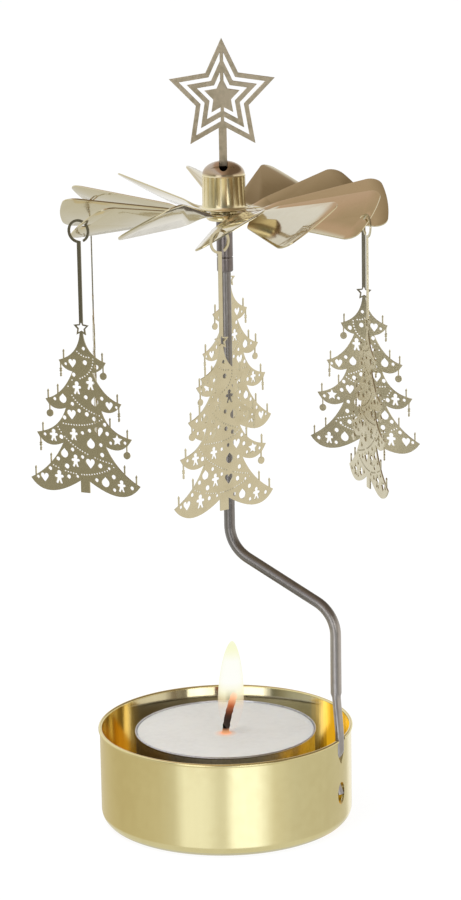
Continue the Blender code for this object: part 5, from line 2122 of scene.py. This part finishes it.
@dataclass
class Studio:
    """Floor, surroundings, lamps and the camera."""

    distance: float = 0.650
    elevation: float = math.radians(13.5)
    roll: float = math.radians(-1.0)
    focal_pixels: float = 3138.0
    frame_height: float = 900.0
    sensor: float = 36.0
    clip_start: float = 0.01
    target: Tint = (0.00208, 0.0, 0.07985)
    fill_light: float = 0.80
    left_range: Point = (-0.02, -0.20)
    tilt_height: float = 0.62
    tilt_slope: float = 0.35
    rise_range: Point = (0.22, 0.42)
    sink_range: Point = (-0.32, -0.48)
    mirrored_floor: Tint = (0.765, 0.775, 0.775)
    low_bands: Stops = (
        (-180.0, (0.95, 0.95, 0.95)), (-110.0, (0.90, 0.90, 0.88)), (-84.0, (0.60, 0.60, 0.56)),
        (-66.0, (0.50, 0.50, 0.44)), (-54.0, (0.34, 0.32, 0.24)), (-45.0, (0.20, 0.20, 0.16)),
        (-39.0, (1.25, 1.25, 1.28)), (-16.0, (1.35, 1.35, 1.40)), (-11.0, (0.20, 0.21, 0.22)),
        (12.0, (0.16, 0.17, 0.19)), (18.0, (0.34, 0.36, 0.32)), (30.0, (0.24, 0.22, 0.19)),
        (50.0, (0.30, 0.25, 0.20)), (58.0, (0.90, 0.86, 0.80)), (110.0, (0.96, 0.92, 0.86)),
        (150.0, (0.94, 0.94, 0.92)), (180.0, (0.95, 0.95, 0.95)),
    )
    high_bands: Stops = (
        (0.00, (0.95, 0.95, 0.92)), (0.26, (0.92, 0.96, 1.10)), (0.335, (0.92, 0.95, 1.06)),
        (0.375, (0.69, 0.54, 0.47)), (0.43, (0.67, 0.515, 0.45)), (0.50, (0.56, 0.455, 0.375)),
        (0.635, (0.36, 0.285, 0.22)), (0.675, (0.28, 0.215, 0.16)),
        (0.74, (0.25, 0.195, 0.145)), (1.00, (0.25, 0.195, 0.145)),
    )
    tent_bands: tuple[Tint, ...] = (
        (-180.0, 0.80, 1.0), (-90.0, 0.62, 1.0), (-50.0, 0.68, 0.6), (-38.0, 0.72, 0.2),
        (-29.0, 1.10, -0.6), (-13.0, 1.06, -0.6), (-5.0, 0.84, -0.3), (-1.0, 0.86, -0.3),
        (5.0, 1.42, -1.0), (21.0, 1.40, -1.0), (34.0, 0.82, 0.0), (50.0, 0.70, 0.0),
        (90.0, 0.66, 0.2), (118.0, 0.72, 0.3), (124.0, 1.05, 0.0), (146.0, 1.00, 0.0),
        (152.0, 0.72, 0.2),
    )
    tent_radius: float = 0.056
    tent_low: float = -0.020
    tent_high: float = 0.016
    warm_green: float = 0.08
    warm_blue: float = 0.28
    floor_paper: float = 0.86
    floor_glow: float = 1.07
    floor_share: float = 0.84
    floor_radius: float = 6.0
    floor_drop: float = 0.00002
    card_glow: float = 2.2
    card_height: float = 0.080
    card_middle: float = 0.078
    card_distance: float = 0.30

    CARDS = (("card_right", 23.5, 0.139), ("card_left", -27.5, 0.118))
    LAMPS = (
        ("lamp_over", (-0.35, -0.25, 0.9), 0.6, 4.0),
        ("lamp_front", (0.5, -0.8, 0.5), 0.5, 2.0),
    )

    def camera(self) -> None:
        """Stand the camera where the photograph was taken from."""
        data = bpy.data.cameras.new("camera")
        data.sensor_width = self.sensor
        data.lens = self.focal_pixels / self.frame_height * data.sensor_width
        data.clip_start = self.clip_start
        camera = new_object("camera", data)
        right = Vector((1, 0, 0))
        up = Vector((0, math.sin(self.elevation), math.cos(self.elevation)))
        back = Vector((0, -math.cos(self.elevation), math.sin(self.elevation)))
        across = right * math.cos(self.roll) + up * math.sin(self.roll)
        over = up * math.cos(self.roll) - right * math.sin(self.roll)
        place = Matrix((across, over, back)).transposed().to_4x4()
        place.translation = Vector(self.target) + back * self.distance
        camera.matrix_world = place
        bpy.context.scene.camera = camera

    def world(self) -> None:
        """A white surround for the eye, and a soft room for the metal to mirror."""
        world = bpy.data.worlds.new("studio")
        world.use_nodes = True
        world.node_tree.nodes.clear()
        bpy.context.scene.world = world
        nodes = Nodes(world.node_tree)
        x, y, z = nodes.split(nodes.place("Generated"))
        low = nodes.compass(x, y, self.low_bands)
        tilt = nodes.product(nodes.math("SUBTRACT", z, self.tilt_height), self.tilt_slope,
                             nodes.remap(x, *self.left_range))
        high = nodes.ramp(nodes.math("ADD", nodes.remap(x, -1.0, 1.0), tilt), self.high_bands)
        walls = nodes.blend(nodes.remap(z, *self.rise_range), low, high)
        room = nodes.blend(nodes.remap(z, *self.sink_range), walls, (*self.mirrored_floor, 1.0))
        plain, mirror, white = (
            nodes.add("Background", {"Color": colour, "Strength": strength}).outputs[0]
            for colour, strength in ((WHITE, self.fill_light), (room, 1.0), (WHITE, 1.0))
        )
        ray = nodes.add("LightPath").outputs
        unseen = nodes.add("MixShader", {0: ray["Is Glossy Ray"], 1: plain, 2: mirror})
        seen = nodes.math("MAXIMUM", ray["Is Camera Ray"], ray["Is Transmission Ray"])
        final = nodes.add("MixShader", {0: seen, 1: unseen.outputs[0], 2: white})
        nodes.add("OutputWorld", {"Surface": final.outputs[0]})

    def floor(self) -> None:
        """A plain white floor that keeps a soft shadow."""
        material, nodes = start_material("floor_white", empty=True)
        paper = nodes.add("BsdfDiffuse", {"Color": (*(self.floor_paper,) * 3, 1.0)})
        white = nodes.add("Emission", {"Color": WHITE, "Strength": self.floor_glow})
        ray = nodes.add("LightPath").outputs
        share = nodes.product(ray["Is Camera Ray"], self.floor_share)
        shader = nodes.add("MixShader", {0: share, 1: paper.outputs[0], 2: white.outputs[0]})
        nodes.add("OutputMaterial", {"Surface": shader.outputs[0]})
        bm = bmesh.new()
        bmesh.ops.create_circle(bm, cap_ends=True, radius=self.floor_radius, segments=96)
        ground = make_piece("floor", shifted(bm, Vector((0, 0, -self.floor_drop))), material)
        ground.visible_glossy = False

    def tone(self, level: float, warmth: float) -> Tint:
        """A grey level, tinted towards gold by a positive warmth and to blue by a negative one."""
        return (level, level * (1.0 - self.warm_green * warmth),
                level * (1.0 - self.warm_blue * warmth))

    def tent(self) -> None:
        """A low curved reflector round the cup, seen only in its polish."""
        material, nodes = start_material("tent_panel", empty=True)
        x, y, _ = nodes.split(nodes.place())
        stops = tuple((deg, self.tone(level, warmth)) for deg, level, warmth in self.tent_bands)
        glow = nodes.add("Emission", {"Color": nodes.compass(x, y, stops), "Strength": 1.0})
        nodes.add("OutputMaterial", {"Surface": glow.outputs[0]})
        bm = bmesh.new()
        ring = bmesh.ops.create_circle(bm, radius=self.tent_radius, segments=96)["verts"]
        made = bmesh.ops.extrude_edge_only(bm, edges=bm.edges[:])
        bmesh.ops.translate(bm, verts=ring, vec=(0, 0, self.tent_low))
        bmesh.ops.translate(bm, verts=new_verts(made), vec=(0, 0, self.tent_high))
        self.hide_card(make_piece("tent", bm, material))

    def window_cards(self) -> None:
        """Two bright cards low in front, which the cup's far wall mirrors over its rim."""
        material, nodes = start_material("window_card", empty=True)
        glow = nodes.add("Emission", {"Color": WHITE, "Strength": self.card_glow})
        nodes.add("OutputMaterial", {"Surface": glow.outputs[0]})
        stand = (Matrix.Translation((0, -self.card_distance, self.card_middle))
                 @ Matrix.Rotation(math.pi / 2, 4, "X"))
        for name, bearing, width in self.CARDS:
            bm = bmesh.new()
            bmesh.ops.create_grid(bm, x_segments=1, y_segments=1, size=0.5)
            size = Matrix.Diagonal((width, self.card_height, 1.0, 1.0))
            turn = Matrix.Rotation(math.radians(bearing), 4, "Z")
            bmesh.ops.transform(bm, matrix=turn @ stand @ size, verts=bm.verts)
            self.hide_card(make_piece(name, bm, material))

    @staticmethod
    def hide_card(card: Item) -> None:
        """Hide a card from every ray but the glossy ones, so that only polished surfaces see it.

        Args:
            card: the card.
        """
        for ray in ("camera", "diffuse", "shadow", "transmission"):
            setattr(card, f"visible_{ray}", False)

    def lamp(self, name: str, place: Tint, size: float, power: float) -> None:
        """A soft square lamp that looks at the middle of the carousel.

        Args:
            name: the lamp's name.
            place: where it hangs.
            size: its side.
            power: its strength in watts.
        """
        data = bpy.data.lights.new(name, "AREA")
        data.size = size
        data.energy = power
        item = new_object(name, data)
        item.location = place
        aim = Vector(self.target) - Vector(place)
        item.rotation_euler = aim.to_track_quat("-Z", "Y").to_euler()
        item.visible_glossy = False
        item.visible_camera = False

    def build(self) -> None:
        """Set up the whole studio."""
        bpy.context.scene.view_settings.view_transform = "Standard"
        self.camera()
        self.world()
        self.floor()
        self.tent()
        self.window_cards()
        for lamp in self.LAMPS:
            self.lamp(*lamp)


def main() -> None:
    """Build the carousel piece by piece, then the studio."""
    logging.basicConfig(level=logging.INFO, format="%(name)s: %(message)s")
    finishes = Finishes()
    CupShell().build(finishes)
    post = BentPost()
    post.build(finishes)
    wheel = BladeWheel()
    hub = post.on_axis() + Vector((0, 0, wheel.height))
    wheel.build(hub, finishes)
    Hub().build(hub, finishes)
    StarFinial().build(hub, finishes)
    CharmSet().build(finishes)
    Tealight().build(finishes)
    Studio().build()


if __name__ == "__main__":
    main()
